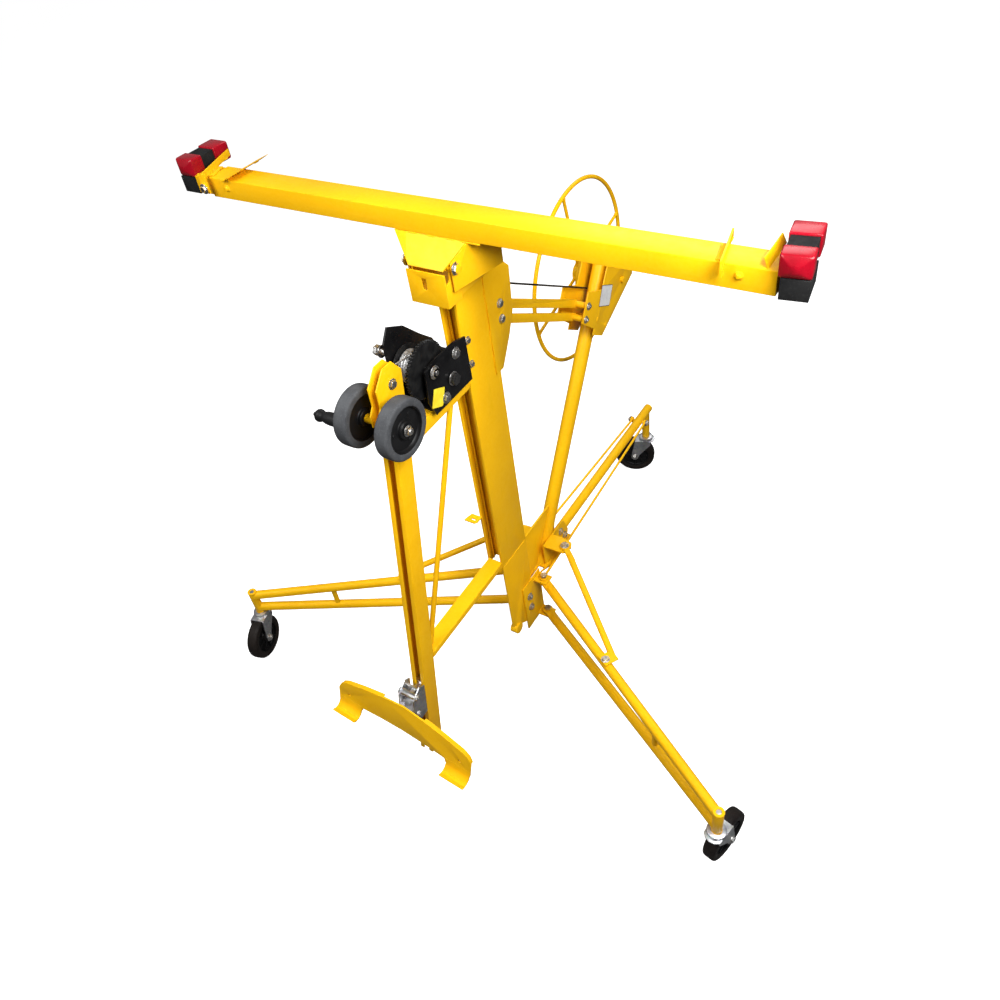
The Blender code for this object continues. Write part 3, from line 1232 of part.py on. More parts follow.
def paint_nodes():
    """Give every piece its material, and smooth shading with sharp edges kept."""
    materials = {}
    for name, (colour, roughness, metallic) in PAINTS.items():
        material = bpy.data.materials.new(name)
        material.use_nodes = True
        surface = material.node_tree.nodes["Principled BSDF"]
        surface.inputs["Base Color"].default_value = (*colour, 1.0)
        surface.inputs["Roughness"].default_value = roughness
        surface.inputs["Metallic"].default_value = metallic
        materials[name] = material
    paint_of = {node: paint for paint, nodes in NODE_PAINTS.items() for node in nodes}
    for piece in bpy.data.objects:
        if piece.type != "MESH":
            continue
        piece.data.materials.clear()
        piece.data.materials.append(materials[paint_of.get(piece.name, "yellow_paint")])
        piece.data.shade_smooth()
        piece.data.set_sharp_from_angle(angle=math.radians(32.0))


def hub_of(foot, degrees):
    """Centre of a caster wheel."""
    return foot + trail_vector(degrees) * CASTER_TRAIL + Z_AXIS * CASTER_R


def moving_groups():
    """Name, axis point, parent group and nodes of every body that moves."""
    groups = [
        ("middle_stage", Vector((0, 0, MAST_TOP_Z)), None, ["middle_mast_stage"]),
        ("inner_stage", Vector((0, 0, INNER_TOP_Z)), "middle_stage", ["inner_mast_stage", "head_box"]),
        ("head", HEAD_PIVOT, "inner_stage",
         ["tilt_hood", "cross_beam", "end_flange_left", "end_flange_right",
          "edge_rest_left", "edge_rest_right"]),
        ("handwheel", WHEEL_CENTRE, None, ["winch_handwheel", "winch_brake_drum", "winch_cable_drum"]),
        ("crank", CRANK_AXLE, None, ["winch_crank"]),
        ("grip", CRANK_END, "crank", ["crank_grip"]),
        ("drum", DRUM_AXLE, None, ["loader_drum"]),
        ("pulley", PULLEY_AXLE, None, ["cable_pulley"]),
        ("carriage", track_frame() @ Vector((0, 0, CARRIER_PIVOT_H)), None, ["panel_carriage"]),
        ("cradle", track_frame() @ Vector((0, -CARRIER_REACH, CARRIER_PIVOT_H)), "carriage", ["carrier_bar"]),
    ]
    for side in (-1, 1):
        label = side_name(side)
        pad_x = LEFT_PAD_X if side < 0 else RIGHT_PAD_X
        groups.append(("arm_" + label, Vector((pad_x, 0, BEAM_TOP_Z)), "head",
                       ["arm_extension_" + label, "pad_core_" + label,
                        "pad_cap_front_" + label, "pad_cap_rear_" + label]))
        groups.append(("roller_" + label, ROLLER_AXLE, None, ["panel_roller_" + label]))
        groups.append(("leg_" + label, mirrored(LEG_PIVOT, side), None,
                       ["side_leg_" + label, "side_brace_" + label]))
    for label, foot, degrees in caster_places():
        parent = None if label == "rear" else "leg_" + label
        groups.append(("fork_" + label, foot, parent, ["caster_fork_" + label]))
        groups.append(("wheel_" + label, hub_of(foot, degrees), "fork_" + label, ["caster_wheel_" + label]))
    return groups


def add_empty(name, point):
    """Empty at a point, for other objects to hang on."""
    empty = bpy.data.objects.new(name, None)
    empty.empty_display_size = 0.03
    empty.location = point
    bpy.context.collection.objects.link(empty)
    return empty


def hang_on_joints():
    """Hang every moving body on an empty at its joint's axis, and the lift on its footprint's middle."""
    points = {None: FOOTPRINT_MIDDLE}
    empties = {None: add_empty("lift", Vector((0.0, 0.0, 0.0)))}
    carriers = {}
    for name, point, parent, nodes in moving_groups():
        points[name] = point
        empties[name] = add_empty("joint_" + name, point - points[parent])
        empties[name].parent = empties[parent]
        carriers.update({node: name for node in nodes})
    for piece in bpy.data.objects:
        if piece.type == "MESH":
            carrier = carriers.get(piece.name)
            piece.parent = empties[carrier]
            piece.location = -points[carrier]


clear_scene()
build_mast()
build_tripod()
build_rear_winch()
build_loader()
build_head()
paint_nodes()
hang_on_joints()
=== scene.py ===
"""Looks of the rolling drywall lift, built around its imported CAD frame.

Everything is in metres in the frame's own axes. Points given as at(x, y, z) are measured from the
floor under the middle of the mast, as the CAD does.
"""

import json
import math
import random

import bmesh
import bpy
from mathutils import Matrix, Vector


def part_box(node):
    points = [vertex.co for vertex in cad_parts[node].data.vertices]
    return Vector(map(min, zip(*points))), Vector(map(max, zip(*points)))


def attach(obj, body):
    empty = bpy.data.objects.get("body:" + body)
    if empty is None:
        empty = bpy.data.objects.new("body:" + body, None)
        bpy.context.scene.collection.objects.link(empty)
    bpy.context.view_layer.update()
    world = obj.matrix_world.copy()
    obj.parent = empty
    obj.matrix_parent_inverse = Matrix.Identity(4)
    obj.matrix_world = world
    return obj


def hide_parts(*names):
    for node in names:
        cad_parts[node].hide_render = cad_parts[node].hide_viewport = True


# ---------------------------------------------------------------- driving dimensions

X = Vector((1.0, 0.0, 0.0))
Y = Vector((0.0, 1.0, 0.0))
Z = Vector((0.0, 0.0, 1.0))

HANDWHEEL_R = 0.2330
HANDWHEEL_X = -0.085
RIM_R = 0.0052
SPOKE_R = 0.0042
SPOKE_START_DEG = 14.0
WINCH_SHAFT_R = 0.0083
WINCH_PLATE_X = 0.036

CASTER_R = 0.0635
ROLLER_R = 0.059
GRIP_START_X = -0.1120
GRIP_LENGTH = 0.0990

POST_FOOT = (0.0, 0.150, 0.250)
POST_DIR = Vector((0.0, 0.534, 0.845)).normalized()
POST_SIDE = Vector((0.0, 0.845, -0.534)).normalized()
TRACK_FOOT = (0.0, -0.4441, 0.126)
TRACK_DIR = Vector((0.0, 0.1715, 0.9852)).normalized()
TRACK_REAR = Vector((0.0, 0.9852, -0.1715)).normalized()

LEG_PIVOT = Vector((0.048, 0.075, 0.230))
LEG_FOOT = Vector((0.683, -0.312, 0.207))
LEG_TAB_SHARE = 0.41
LEG_PIN_HEADS = (0.2502, 0.1142)
LEG_PIN_NUTS = (0.2175, 0.0900)
BRACE_PIN = Vector((0.0747, 0.151, 0.305))
SOCKET_ENDS = (0.1430, 0.2222)
HINGE_BOLT_HEIGHTS = (0.202, 0.160)
HUB_BOLTS = ((0.218, 0.276), (0.236, 0.246))
EAR_BOLT_Y = 0.078
EAR_BOLT_HEIGHTS = (1.072, 1.036)
LOADER_PLATE_X = 0.0350
LOADER_BOLTS = ((-0.0986, 1.0680), (-0.1500, 0.9990))

# How far a bolt stands proud of the plain CAD bolt that it covers.
BOLT_PROUD_R = 0.0004
BOLT_PROUD_H = 0.0003

CAMERA_PLACE = (0.8945, -1.1344, 1.9430)
CAMERA_RIGHT = Vector((0.84618, 0.51891, -0.12126))
CAMERA_UP = Vector((-0.28689, 0.63536, 0.71694))
CAMERA_LENS = 30.157
LAMP_TARGET = Vector((0.0, 0.0, 0.8))
LAMPS = (
    ("key", (-0.7, -1.5, 2.5), 1.2, 38.0),
    ("fill", (1.25, -0.6, 2.15), 0.9, 52.0),
    ("back", (-0.4, 2.6, 3.0), 1.6, 26.0),
)
SKY_FOR_CAMERA = 1.0
SKY_FOR_OBJECT = 0.24

YELLOW_HIGH = (0.900, 0.490, 0.0030, 1.0)
YELLOW_LOW = (0.830, 0.430, 0.0025, 1.0)

random.seed(7)

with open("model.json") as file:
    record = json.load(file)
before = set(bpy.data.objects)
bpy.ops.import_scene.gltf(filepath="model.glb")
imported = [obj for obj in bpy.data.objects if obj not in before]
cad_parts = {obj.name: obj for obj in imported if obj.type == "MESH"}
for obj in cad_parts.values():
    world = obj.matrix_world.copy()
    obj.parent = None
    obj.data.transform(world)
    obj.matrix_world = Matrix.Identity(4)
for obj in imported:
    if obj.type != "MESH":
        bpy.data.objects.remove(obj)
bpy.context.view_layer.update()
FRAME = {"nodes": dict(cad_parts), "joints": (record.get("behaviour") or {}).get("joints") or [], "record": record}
MAST_LOW, MAST_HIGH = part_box("mast_base_section")
ARM_LOW, ARM_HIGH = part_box("loader_arm")
MAST_FOOT = Vector(((ARM_LOW.x + ARM_HIGH.x) / 2, (MAST_LOW.y + MAST_HIGH.y) / 2, 0.0))


def at(x, y, z):
    """A point measured from the floor under the middle of the mast."""
    return MAST_FOOT + Vector((x, y, z))


def joint_point(name):
    """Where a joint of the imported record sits."""
    for joint in FRAME["joints"]:
        if joint["name"] == name:
            return Vector(joint["pos_m"])
    raise ValueError(name)


# ---------------------------------------------------------------- shader helpers


def rgb(red, green, blue):
    """An opaque colour."""
    return (red, green, blue, 1.0)


def tinted(colour, gain, lift=0.0):
    """A colour made lighter or darker."""
    return rgb(*(min(1.0, part * gain + lift) for part in colour[:3]))


class Surface:
    """A material under construction, with short calls for the nodes it needs."""

    def __init__(self, name):
        self.material = bpy.data.materials.new(name)
        self.material.use_nodes = True
        self.tree = self.material.node_tree
        self.shader = self.tree.nodes["Principled BSDF"]
        self.place = self.add("ShaderNodeTexCoord").outputs["Object"]

    def add(self, kind, **values):
        node = self.tree.nodes.new(kind)
        for key, value in values.items():
            setattr(node, key, value)
        return node

    def plug(self, source, socket):
        if hasattr(source, "is_output"):
            self.tree.links.new(source, socket)
        else:
            socket.default_value = source

    def stretch(self, scale):
        """The object's coordinates, stretched differently along each axis."""
        node = self.add("ShaderNodeMapping")
        node.inputs["Scale"].default_value = scale
        self.tree.links.new(self.place, node.inputs["Vector"])
        return node.outputs["Vector"]

    def noise(self, scale, detail=3.0, rough=0.55, vector=None, distortion=0.0):
        node = self.add("ShaderNodeTexNoise")
        node.inputs["Scale"].default_value = scale
        node.inputs["Detail"].default_value = detail
        node.inputs["Roughness"].default_value = rough
        node.inputs["Distortion"].default_value = distortion
        self.tree.links.new(vector or self.place, node.inputs["Vector"])
        return node.outputs["Fac"]

    def cells(self, scale, feature="F1", vector=None):
        node = self.add("ShaderNodeTexVoronoi", feature=feature)
        node.inputs["Scale"].default_value = scale
        self.tree.links.new(vector or self.place, node.inputs["Vector"])
        return node

    def spread(self, value, low, high, to_low=0.0, to_high=1.0):
        """Map a range of values onto another, clamped."""
        node = self.add("ShaderNodeMapRange", clamp=True)
        self.plug(value, node.inputs["Value"])
        limits = {"From Min": low, "From Max": high, "To Min": to_low, "To Max": to_high}
        for socket, limit in limits.items():
            node.inputs[socket].default_value = limit
        return node.outputs["Result"]

    def math(self, operation, first, second=0.0):
        node = self.add("ShaderNodeMath", operation=operation)
        self.plug(first, node.inputs[0])
        self.plug(second, node.inputs[1])
        return node.outputs["Value"]

    def blend(self, share, first, second, mode="MIX"):
        node = self.add("ShaderNodeMix", data_type="RGBA", blend_type=mode)
        self.plug(share, node.inputs["Factor"])
        self.plug(first, node.inputs["A"])
        self.plug(second, node.inputs["B"])
        return node.outputs["Result"]

    def edges(self, radius, low=0.04, high=0.30):
        """1 along convex and concave edges, 0 on flat faces."""
        rounded = self.add("ShaderNodeBevel", samples=6)
        rounded.inputs["Radius"].default_value = radius
        plain = self.add("ShaderNodeNewGeometry")
        dot = self.add("ShaderNodeVectorMath", operation="DOT_PRODUCT")
        self.tree.links.new(rounded.outputs["Normal"], dot.inputs[0])
        self.tree.links.new(plain.outputs["Normal"], dot.inputs[1])
        return self.spread(self.math("SUBTRACT", 1.0, dot.outputs["Value"]), low, high)

    def bump(self, height, distance, strength=1.0, under=None):
        node = self.add("ShaderNodeBump")
        node.inputs["Distance"].default_value = distance
        node.inputs["Strength"].default_value = strength
        self.tree.links.new(height, node.inputs["Height"])
        if under is not None:
            self.tree.links.new(under, node.inputs["Normal"])
        return node.outputs["Normal"]

    def finish(self, colour, roughness, normal=None, **values):
        self.plug(colour, self.shader.inputs["Base Color"])
        self.plug(roughness, self.shader.inputs["Roughness"])
        if normal is not None:
            self.plug(normal, self.shader.inputs["Normal"])
        for key, value in values.items():
            self.plug(value, self.shader.inputs[key.replace("_", " ")])
        return self.material


# ---------------------------------------------------------------- materials


def yellow_paint():
    """Yellow powder coat: faint orange peel, uneven depth of colour, a painted highlight along its edges and a few
    chips.
    """
    s = Surface("yellow_powder_coat")
    broad = s.spread(s.noise(7.0, 4.0), 0.35, 0.65)
    fine = s.spread(s.noise(140.0, 2.0), 0.35, 0.65)
    colour = s.blend(broad, YELLOW_LOW, YELLOW_HIGH)
    colour = s.blend(s.math("MULTIPLY", fine, 0.10), colour, rgb(0.98, 0.66, 0.05))
    edge = s.edges(0.0011)
    # A paler yellow laid in patches along the edges is a painted highlight.
    patchy = s.spread(s.noise(60.0, 4.0), 0.48, 0.62)
    edge_highlight = s.math("MULTIPLY", edge, patchy)
    colour = s.blend(s.math("MULTIPLY", edge_highlight, 0.35), colour, rgb(1.0, 0.74, 0.16))
    chip = s.math("MULTIPLY", edge, s.spread(s.noise(420.0, 2.0), 0.66, 0.69))
    colour = s.blend(s.math("MULTIPLY", chip, 0.75), colour, rgb(0.11, 0.075, 0.045))
    scuff = s.spread(s.noise(30.0, 6.0, 0.7, s.stretch((1.0, 1.0, 0.22))), 0.60, 0.74)
    colour = s.blend(s.math("MULTIPLY", scuff, 0.16), colour, rgb(0.42, 0.235, 0.012))
    gloss = s.spread(s.noise(55.0, 3.0), 0.3, 0.7, 0.30, 0.42)
    rough = s.math("ADD", gloss, s.math("MULTIPLY", scuff, 0.15))
    normal = s.bump(s.noise(950.0, 2.0), 0.00035, 0.16)
    normal = s.bump(s.noise(24.0, 2.0), 0.0011, 0.10, normal)
    return s.finish(colour, rough, normal, Specular_IOR_Level=0.13)


def black_enamel():
    """Black gloss enamel with dust in the surface and worn edges."""
    s = Surface("black_enamel")
    cloud = s.spread(s.noise(20.0, 4.0), 0.4, 0.65)
    colour = s.blend(cloud, rgb(0.0030, 0.0030, 0.0034), rgb(0.0060, 0.0060, 0.0065))
    worn = s.math("MULTIPLY", s.edges(0.0012), s.spread(s.noise(160.0, 4.0), 0.46, 0.60))
    colour = s.blend(s.math("MULTIPLY", worn, 0.40), colour, rgb(0.16, 0.15, 0.14))
    dust = s.spread(s.noise(260.0, 3.0), 0.62, 0.75)
    colour = s.blend(s.math("MULTIPLY", dust, 0.12), colour, rgb(0.12, 0.11, 0.10))
    rough = s.spread(s.noise(45.0, 5.0), 0.3, 0.7, 0.24, 0.44)
    normal = s.bump(s.noise(900.0, 2.0), 0.0003, 0.14)
    return s.finish(colour, rough, normal, Specular_IOR_Level=0.20)


def zinc_plate():
    """Bright zinc plating: faint grains, cloudy patches and a brownish tint in places."""
    s = Surface("zinc_plate")
    grain = s.cells(240.0)
    cloud = s.spread(s.noise(38.0, 5.0), 0.35, 0.68)
    colour = s.blend(cloud, rgb(0.50, 0.51, 0.53), rgb(0.74, 0.75, 0.76))
    tint = s.spread(s.noise(16.0, 3.0), 0.50, 0.72)
    colour = s.blend(s.math("MULTIPLY", tint, 0.30), colour, rgb(0.62, 0.55, 0.42))
    colour = s.blend(0.16, colour, grain.outputs["Color"], "SOFT_LIGHT")
    dark = s.spread(s.noise(120.0, 5.0), 0.60, 0.74)
    colour = s.blend(s.math("MULTIPLY", dark, 0.45), colour, rgb(0.17, 0.16, 0.15))
    rough = s.spread(s.noise(70.0, 4.0), 0.3, 0.7, 0.26, 0.48)
    normal = s.bump(grain.outputs["Distance"], 0.0003, 0.20)
    return s.finish(colour, rough, normal, Metallic=1.0)


def bright_bolt():
    """Plated bolts, nuts and washers."""
    s = Surface("plated_bolt")
    cloud = s.spread(s.noise(170.0, 4.0), 0.35, 0.65)
    colour = s.blend(cloud, rgb(0.46, 0.45, 0.43), rgb(0.76, 0.75, 0.73))
    edge = s.edges(0.0008)
    colour = s.blend(s.math("MULTIPLY", edge, 0.5), colour, rgb(0.88, 0.87, 0.85))
    grime = s.spread(s.noise(330.0, 3.0), 0.62, 0.76)
    colour = s.blend(s.math("MULTIPLY", grime, 0.45), colour, rgb(0.12, 0.11, 0.10))
    normal = s.bump(s.noise(1500.0, 2.0), 0.0002, 0.20)
    return s.finish(colour, s.spread(s.noise(300.0, 3.0), 0.3, 0.7, 0.20, 0.42), normal, Metallic=1.0)


def gear_steel():
    """Blackened gear steel, worn bright on its corners."""
    s = Surface("gear_steel")
    cloud = s.spread(s.noise(60.0, 4.0), 0.4, 0.6)
    colour = s.blend(cloud, rgb(0.006, 0.006, 0.0065), rgb(0.014, 0.014, 0.014))
    worn = s.math("MULTIPLY", s.edges(0.0007), s.spread(s.noise(220.0, 4.0), 0.42, 0.60))
    colour = s.blend(s.math("MULTIPLY", worn, 0.55), colour, rgb(0.30, 0.29, 0.28))
    rough = s.spread(s.noise(90.0, 4.0), 0.3, 0.7, 0.34, 0.55)
    normal = s.bump(s.noise(700.0, 3.0), 0.0003, 0.22)
    return s.finish(colour, rough, normal, Metallic=0.20, Specular_IOR_Level=0.22)


def dark_steel():
    """Oiled plain steel with fine drawn lines."""
    s = Surface("oiled_steel")
    lines = s.noise(120.0, 3.0, 0.6, s.stretch((0.3, 6.0, 6.0)))
    colour = s.blend(s.spread(lines, 0.35, 0.65), rgb(0.09, 0.09, 0.09), rgb(0.24, 0.235, 0.23))
    stain = s.spread(s.noise(34.0, 5.0), 0.52, 0.72)
    colour = s.blend(s.math("MULTIPLY", stain, 0.4), colour, rgb(0.10, 0.065, 0.040))
    normal = s.bump(lines, 0.0003, 0.18)
    return s.finish(colour, s.spread(lines, 0.3, 0.7, 0.30, 0.46), normal, Metallic=1.0)


def rubber(name, dark, light, rough_low, rough_high, grain):
    """Moulded rubber: dull, slightly mottled, dusty in the pores and lighter where it is worn."""
    s = Surface(name)
    colour = s.blend(s.spread(s.noise(26.0, 5.0), 0.38, 0.66), dark, light)
    dusty = s.spread(s.noise(grain * 0.4, 4.0), 0.55, 0.74)
    pale = tinted(light, 1.9, 0.012)
    colour = s.blend(s.math("MULTIPLY", dusty, 0.30), colour, pale)
    edge = s.math("MULTIPLY", s.edges(0.0016), s.spread(s.noise(110.0, 4.0), 0.40, 0.62))
    colour = s.blend(s.math("MULTIPLY", edge, 0.40), colour, pale)
    rough = s.spread(s.noise(80.0, 4.0), 0.3, 0.7, rough_low, rough_high)
    normal = s.bump(s.noise(grain, 3.0), 0.0005, 0.30)
    return s.finish(colour, rough, normal, Specular_IOR_Level=0.14)


def plastic(name, dark, light, rough_low, rough_high, grain, coat=0.0):
    """Moulded plastic with a fine grain and a little uneven gloss."""
    s = Surface(name)
    colour = s.blend(s.spread(s.noise(18.0, 4.0), 0.38, 0.64), dark, light)
    edge = s.math("MULTIPLY", s.edges(0.0014), s.spread(s.noise(130.0, 4.0), 0.42, 0.62))
    pale = tinted(light, 1.5, 0.010)
    colour = s.blend(s.math("MULTIPLY", edge, 0.45), colour, pale)
    speck = s.spread(s.noise(520.0, 2.0), 0.66, 0.72)
    colour = s.blend(s.math("MULTIPLY", speck, 0.35), colour, tinted(dark, 0.35))
    rough = s.spread(s.noise(60.0, 5.0), 0.3, 0.7, rough_low, rough_high)
    normal = s.bump(s.noise(grain, 2.0), 0.0003, 0.18)
    normal = s.bump(s.noise(34.0, 2.0), 0.0010, 0.10, normal)
    return s.finish(colour, rough, normal, Specular_IOR_Level=0.18, Coat_Weight=coat, Coat_Roughness=0.12)


def wire(name, dark, light):
    """Stranded wire rope."""
    s = Surface(name)
    colour = s.blend(s.spread(s.noise(260.0, 4.0), 0.38, 0.64), dark, light)
    normal = s.bump(s.noise(1800.0, 2.0), 0.0002, 0.25)
    return s.finish(colour, s.spread(s.noise(180.0, 3.0), 0.3, 0.7, 0.32, 0.55), normal, Metallic=0.85)


def label_film(name, dark, light):
    """Printed film of a blank label."""
    s = Surface(name)
    colour = s.blend(s.spread(s.noise(50.0, 4.0), 0.40, 0.66), dark, light)
    edge = s.edges(0.0016)
    colour = s.blend(s.math("MULTIPLY", edge, 0.55), colour, tinted(dark, 0.45))
    normal = s.bump(s.noise(160.0, 3.0), 0.0004, 0.12)
    return s.finish(colour, s.spread(s.noise(70.0, 3.0), 0.3, 0.7, 0.34, 0.50), normal)


def studio_floor():
    """Pale seamless floor, greyer for bounced light than for the camera, so that undersides stay dark."""
    s = Surface("studio_floor")
    seen = s.add("ShaderNodeLightPath").outputs["Is Camera Ray"]
    tone = s.spread(s.noise(1.3, 3.0), 0.35, 0.65)
    pale = s.blend(tone, rgb(0.885, 0.885, 0.885), rgb(0.905, 0.905, 0.905))
    colour = s.blend(seen, rgb(0.12, 0.12, 0.12), pale)
    glow = s.math("MULTIPLY", seen, 0.78)
    normal = s.bump(s.noise(70.0, 2.0), 0.0004, 0.05)
    s.plug(rgb(1.0, 1.0, 1.0), s.shader.inputs["Emission Color"])
    return s.finish(colour, 0.85, normal, Specular_IOR_Level=0.0, Emission_Strength=glow)


def make_materials():
    """Every finish in the scene, by the record's slot names where they have one."""
    return {
        "yellow_paint": yellow_paint(),
        "black_paint": black_enamel(),
        "zinc_plate": zinc_plate(),
        "black_gear": gear_steel(),
        "dark_steel": dark_steel(),
        "bolt": bright_bolt(),
        "red_cap": plastic(
            "red_cap", rgb(0.230, 0.0022, 0.0085), rgb(0.350, 0.0034, 0.0140), 0.22, 0.36, 700.0, 0.25
        ),
        "black_rubber": rubber(
            "black_rubber", rgb(0.0065, 0.0065, 0.0070), rgb(0.013, 0.013, 0.013), 0.60, 0.85, 650.0
        ),
        "roller_rubber": rubber(
            "roller_tyre", rgb(0.050, 0.052, 0.056), rgb(0.072, 0.075, 0.080), 0.50, 0.70, 800.0
        ),
        "caster_tyre": rubber(
            "caster_tyre", rgb(0.0085, 0.0065, 0.0060), rgb(0.017, 0.013, 0.011), 0.42, 0.62, 700.0
        ),
        "hub_plastic": plastic(
            "hub_plastic", rgb(0.0045, 0.0045, 0.0048), rgb(0.0085, 0.0085, 0.0090), 0.34, 0.52, 900.0
        ),
        "grip_plastic": plastic(
            "grip_plastic", rgb(0.0080, 0.0080, 0.0085), rgb(0.015, 0.015, 0.016), 0.36, 0.58, 620.0
        ),
        "wire_rope": wire("wire_rope", rgb(0.30, 0.30, 0.30), rgb(0.66, 0.66, 0.65)),
        "dark_cable": wire("dark_cable", rgb(0.020, 0.020, 0.022), rgb(0.070, 0.070, 0.074)),
        "yellow_label": label_film("yellow_label", rgb(0.78, 0.60, 0.02), rgb(0.88, 0.72, 0.04)),
        "dark_film": label_film("dark_film", rgb(0.030, 0.028, 0.026), rgb(0.060, 0.056, 0.052)),
        "white_label": label_film("white_label", rgb(0.66, 0.66, 0.66), rgb(0.80, 0.80, 0.79)),
        "floor": studio_floor(),
    }


# ---------------------------------------------------------------- mesh helpers


def axes_at(origin, across, up, out):
    """A placement whose local x, y and z run along the three given directions."""
    return Matrix.Translation(origin) @ Matrix((across, up, out)).transposed().to_4x4()


def along_axis(start, direction):
    """A placement whose local z runs along a direction."""
    out = direction.normalized()
    helper = X if abs(out.dot(Z)) > 0.9 else Z
    across = helper.cross(out).normalized()
    return axes_at(start, across, out.cross(across), out)


def skin(builder, rings, loop, caps):
    """Join rings of points with quads. loop also joins the last ring to the first."""
    rows = [[builder.verts.new(p) for p in ring] for ring in rings]
    count = len(rows) if loop else len(rows) - 1
    for i in range(count):
        here, there = rows[i], rows[(i + 1) % len(rows)]
        for k in range(len(here)):
            m = (k + 1) % len(here)
            builder.faces.new((here[k], here[m], there[m], there[k]))
    if caps and not loop:
        builder.faces.new(rows[0])
        builder.faces.new(list(reversed(rows[-1])))


def add_lathe(builder, centre, direction, profile, sides=96, ring=True):
    """Revolve (radius, height) pairs. A ring profile closes on itself, any other is capped at its ends."""
    frame = along_axis(centre, direction)
    steps = [2.0 * math.pi * i / sides for i in range(sides)]
    rings = [[frame @ Vector((r * math.cos(a), r * math.sin(a), h)) for a in steps] for r, h in profile]
    skin(builder, rings, ring, True)


def add_tube(builder, points, radii, sides=24):
    """Sweep a circle along a path, with one radius or one for each point, and cap its ends."""
    if not hasattr(radii, "__len__"):
        radii = [radii] * len(points)
    rings = []
    across = None
    for i, point in enumerate(points):
        before, after = points[max(0, i - 1)], points[min(len(points) - 1, i + 1)]
        out = (after - before).normalized()
        if across is None:
            helper = X if abs(out.dot(Z)) > 0.9 else Z
            across = helper.cross(out).normalized()
        across = (across - out * across.dot(out)).normalized()
        up = out.cross(across)
        rings.append([
            point + (across * math.cos(a) + up * math.sin(a)) * radii[i]
            for a in (2.0 * math.pi * k / sides for k in range(sides))
        ])
    skin(builder, rings, False, True)


def add_prism(builder, frame, outline, low, high):
    """Extrude a flat outline along the frame's local z."""
    rings = [[frame @ Vector((x, y, h)) for x, y in outline] for h in (low, high)]
    skin(builder, rings, False, True)


def add_box(builder, low, high, frame=Matrix.Identity(4)):
    """A block between two opposite corners."""
    outline = [(low[0], low[1]), (high[0], low[1]), (high[0], high[1]), (low[0], high[1])]
    add_prism(builder, frame, outline, low[2], high[2])


def add_bolt(builder, start, direction, radius, height, washer=True, stub=0.0):
    """A chamfered hexagon head, with a washer under it and the end of a shank on top if asked."""
    frame = along_axis(start, direction)
    radius += BOLT_PROUD_R
    height += BOLT_PROUD_H
    corners = [2.0 * math.pi * i / 6 for i in range(6)]
    rings = []
    for share, r in ((0.0, radius), (0.80, radius), (1.0, radius * 0.88)):
        h = share * height
        rings.append([frame @ Vector((r * math.cos(a), r * math.sin(a), h)) for a in corners])
    skin(builder, rings, False, True)
    if washer:
        bore, rim = radius * 0.4, radius * 1.30
        flat = [(bore, -0.0002), (rim, -0.0002), (rim, 0.0007), (rim - 0.0003, 0.0010), (bore, 0.0010)]
        add_lathe(builder, start, direction, flat, 32)
    if stub > 0.0:
        top = height + stub
        r = radius * 0.52
        shank = [(r, height * 0.5), (r, top - 0.0006), (r * 0.82, top)]
        add_lathe(builder, start, direction, shank, 20, False)


def make_piece(name, builder, finish, body, bevel=0.0, sharp_deg=34.0, replaces=()):
    """Turn a builder into a finished piece that rides on a CAD body."""
    bmesh.ops.recalc_face_normals(builder, faces=builder.faces)
    mesh = bpy.data.meshes.new(name)
    builder.to_mesh(mesh)
    builder.free()
    mesh.shade_smooth()
    mesh.set_sharp_from_angle(angle=math.radians(sharp_deg))
    piece = bpy.data.objects.new(name, mesh)
    bpy.context.scene.collection.objects.link(piece)
    mesh.materials.append(MATERIALS[finish])
    if bevel > 0.0:
        add_bevel(piece, bevel)
    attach(piece, body)
    if replaces:
        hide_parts(*replaces)
    return piece


def add_bevel(piece, width, angle_deg=40.0):
    """Round every edge sharper than an angle."""
    bevel = piece.modifiers.new("round_edges", "BEVEL")
    bevel.width = width
    bevel.segments = 3
    bevel.limit_method = "ANGLE"
    bevel.angle_limit = math.radians(angle_deg)
    bevel.use_clamp_overlap = True
    bevel.miter_outer = "MITER_ARC"


def smooth_group():
    """Geometry nodes that shade smooth and keep edges over 32 degrees sharp."""
    group = bpy.data.node_groups.new("shade_by_angle", "GeometryNodeTree")
    group.interface.new_socket("Geometry", in_out="INPUT", socket_type="NodeSocketGeometry")
    group.interface.new_socket("Geometry", in_out="OUTPUT", socket_type="NodeSocketGeometry")
    start = group.nodes.new("NodeGroupInput")
    end = group.nodes.new("NodeGroupOutput")
    faces = group.nodes.new("GeometryNodeSetShadeSmooth")
    faces.domain = "FACE"
    faces.inputs["Shade Smooth"].default_value = True
    edges = group.nodes.new("GeometryNodeSetShadeSmooth")
    edges.domain = "EDGE"
    edges.inputs["Shade Smooth"].default_value = False
    angle = group.nodes.new("GeometryNodeInputMeshEdgeAngle")
    test = group.nodes.new("FunctionNodeCompare")
    test.data_type = "FLOAT"
    test.operation = "GREATER_THAN"
    test.inputs["B"].default_value = math.radians(32.0)
    group.links.new(angle.outputs["Unsigned Angle"], test.inputs["A"])
    group.links.new(test.outputs["Result"], edges.inputs["Selection"])
    group.links.new(start.outputs["Geometry"], faces.inputs["Geometry"])
    group.links.new(faces.outputs["Geometry"], edges.inputs["Geometry"])
    group.links.new(edges.outputs["Geometry"], end.inputs["Geometry"])
    return group


def soften(node, width, merge_faces):
    """Merge a CAD node's split corners, round its edges and shade it by angle, all in modifiers."""
    weld = node.modifiers.new("weld", "WELD")
    weld.merge_threshold = 1e-5
    if merge_faces:
        planar = node.modifiers.new("planar", "DECIMATE")
        planar.decimate_type = "DISSOLVE"
        planar.angle_limit = math.radians(0.6)
    add_bevel(node, width)
    shade = node.modifiers.new("shade", "NODES")
    shade.node_group = SMOOTH


# ---------------------------------------------------------------- CAD nodes that stay


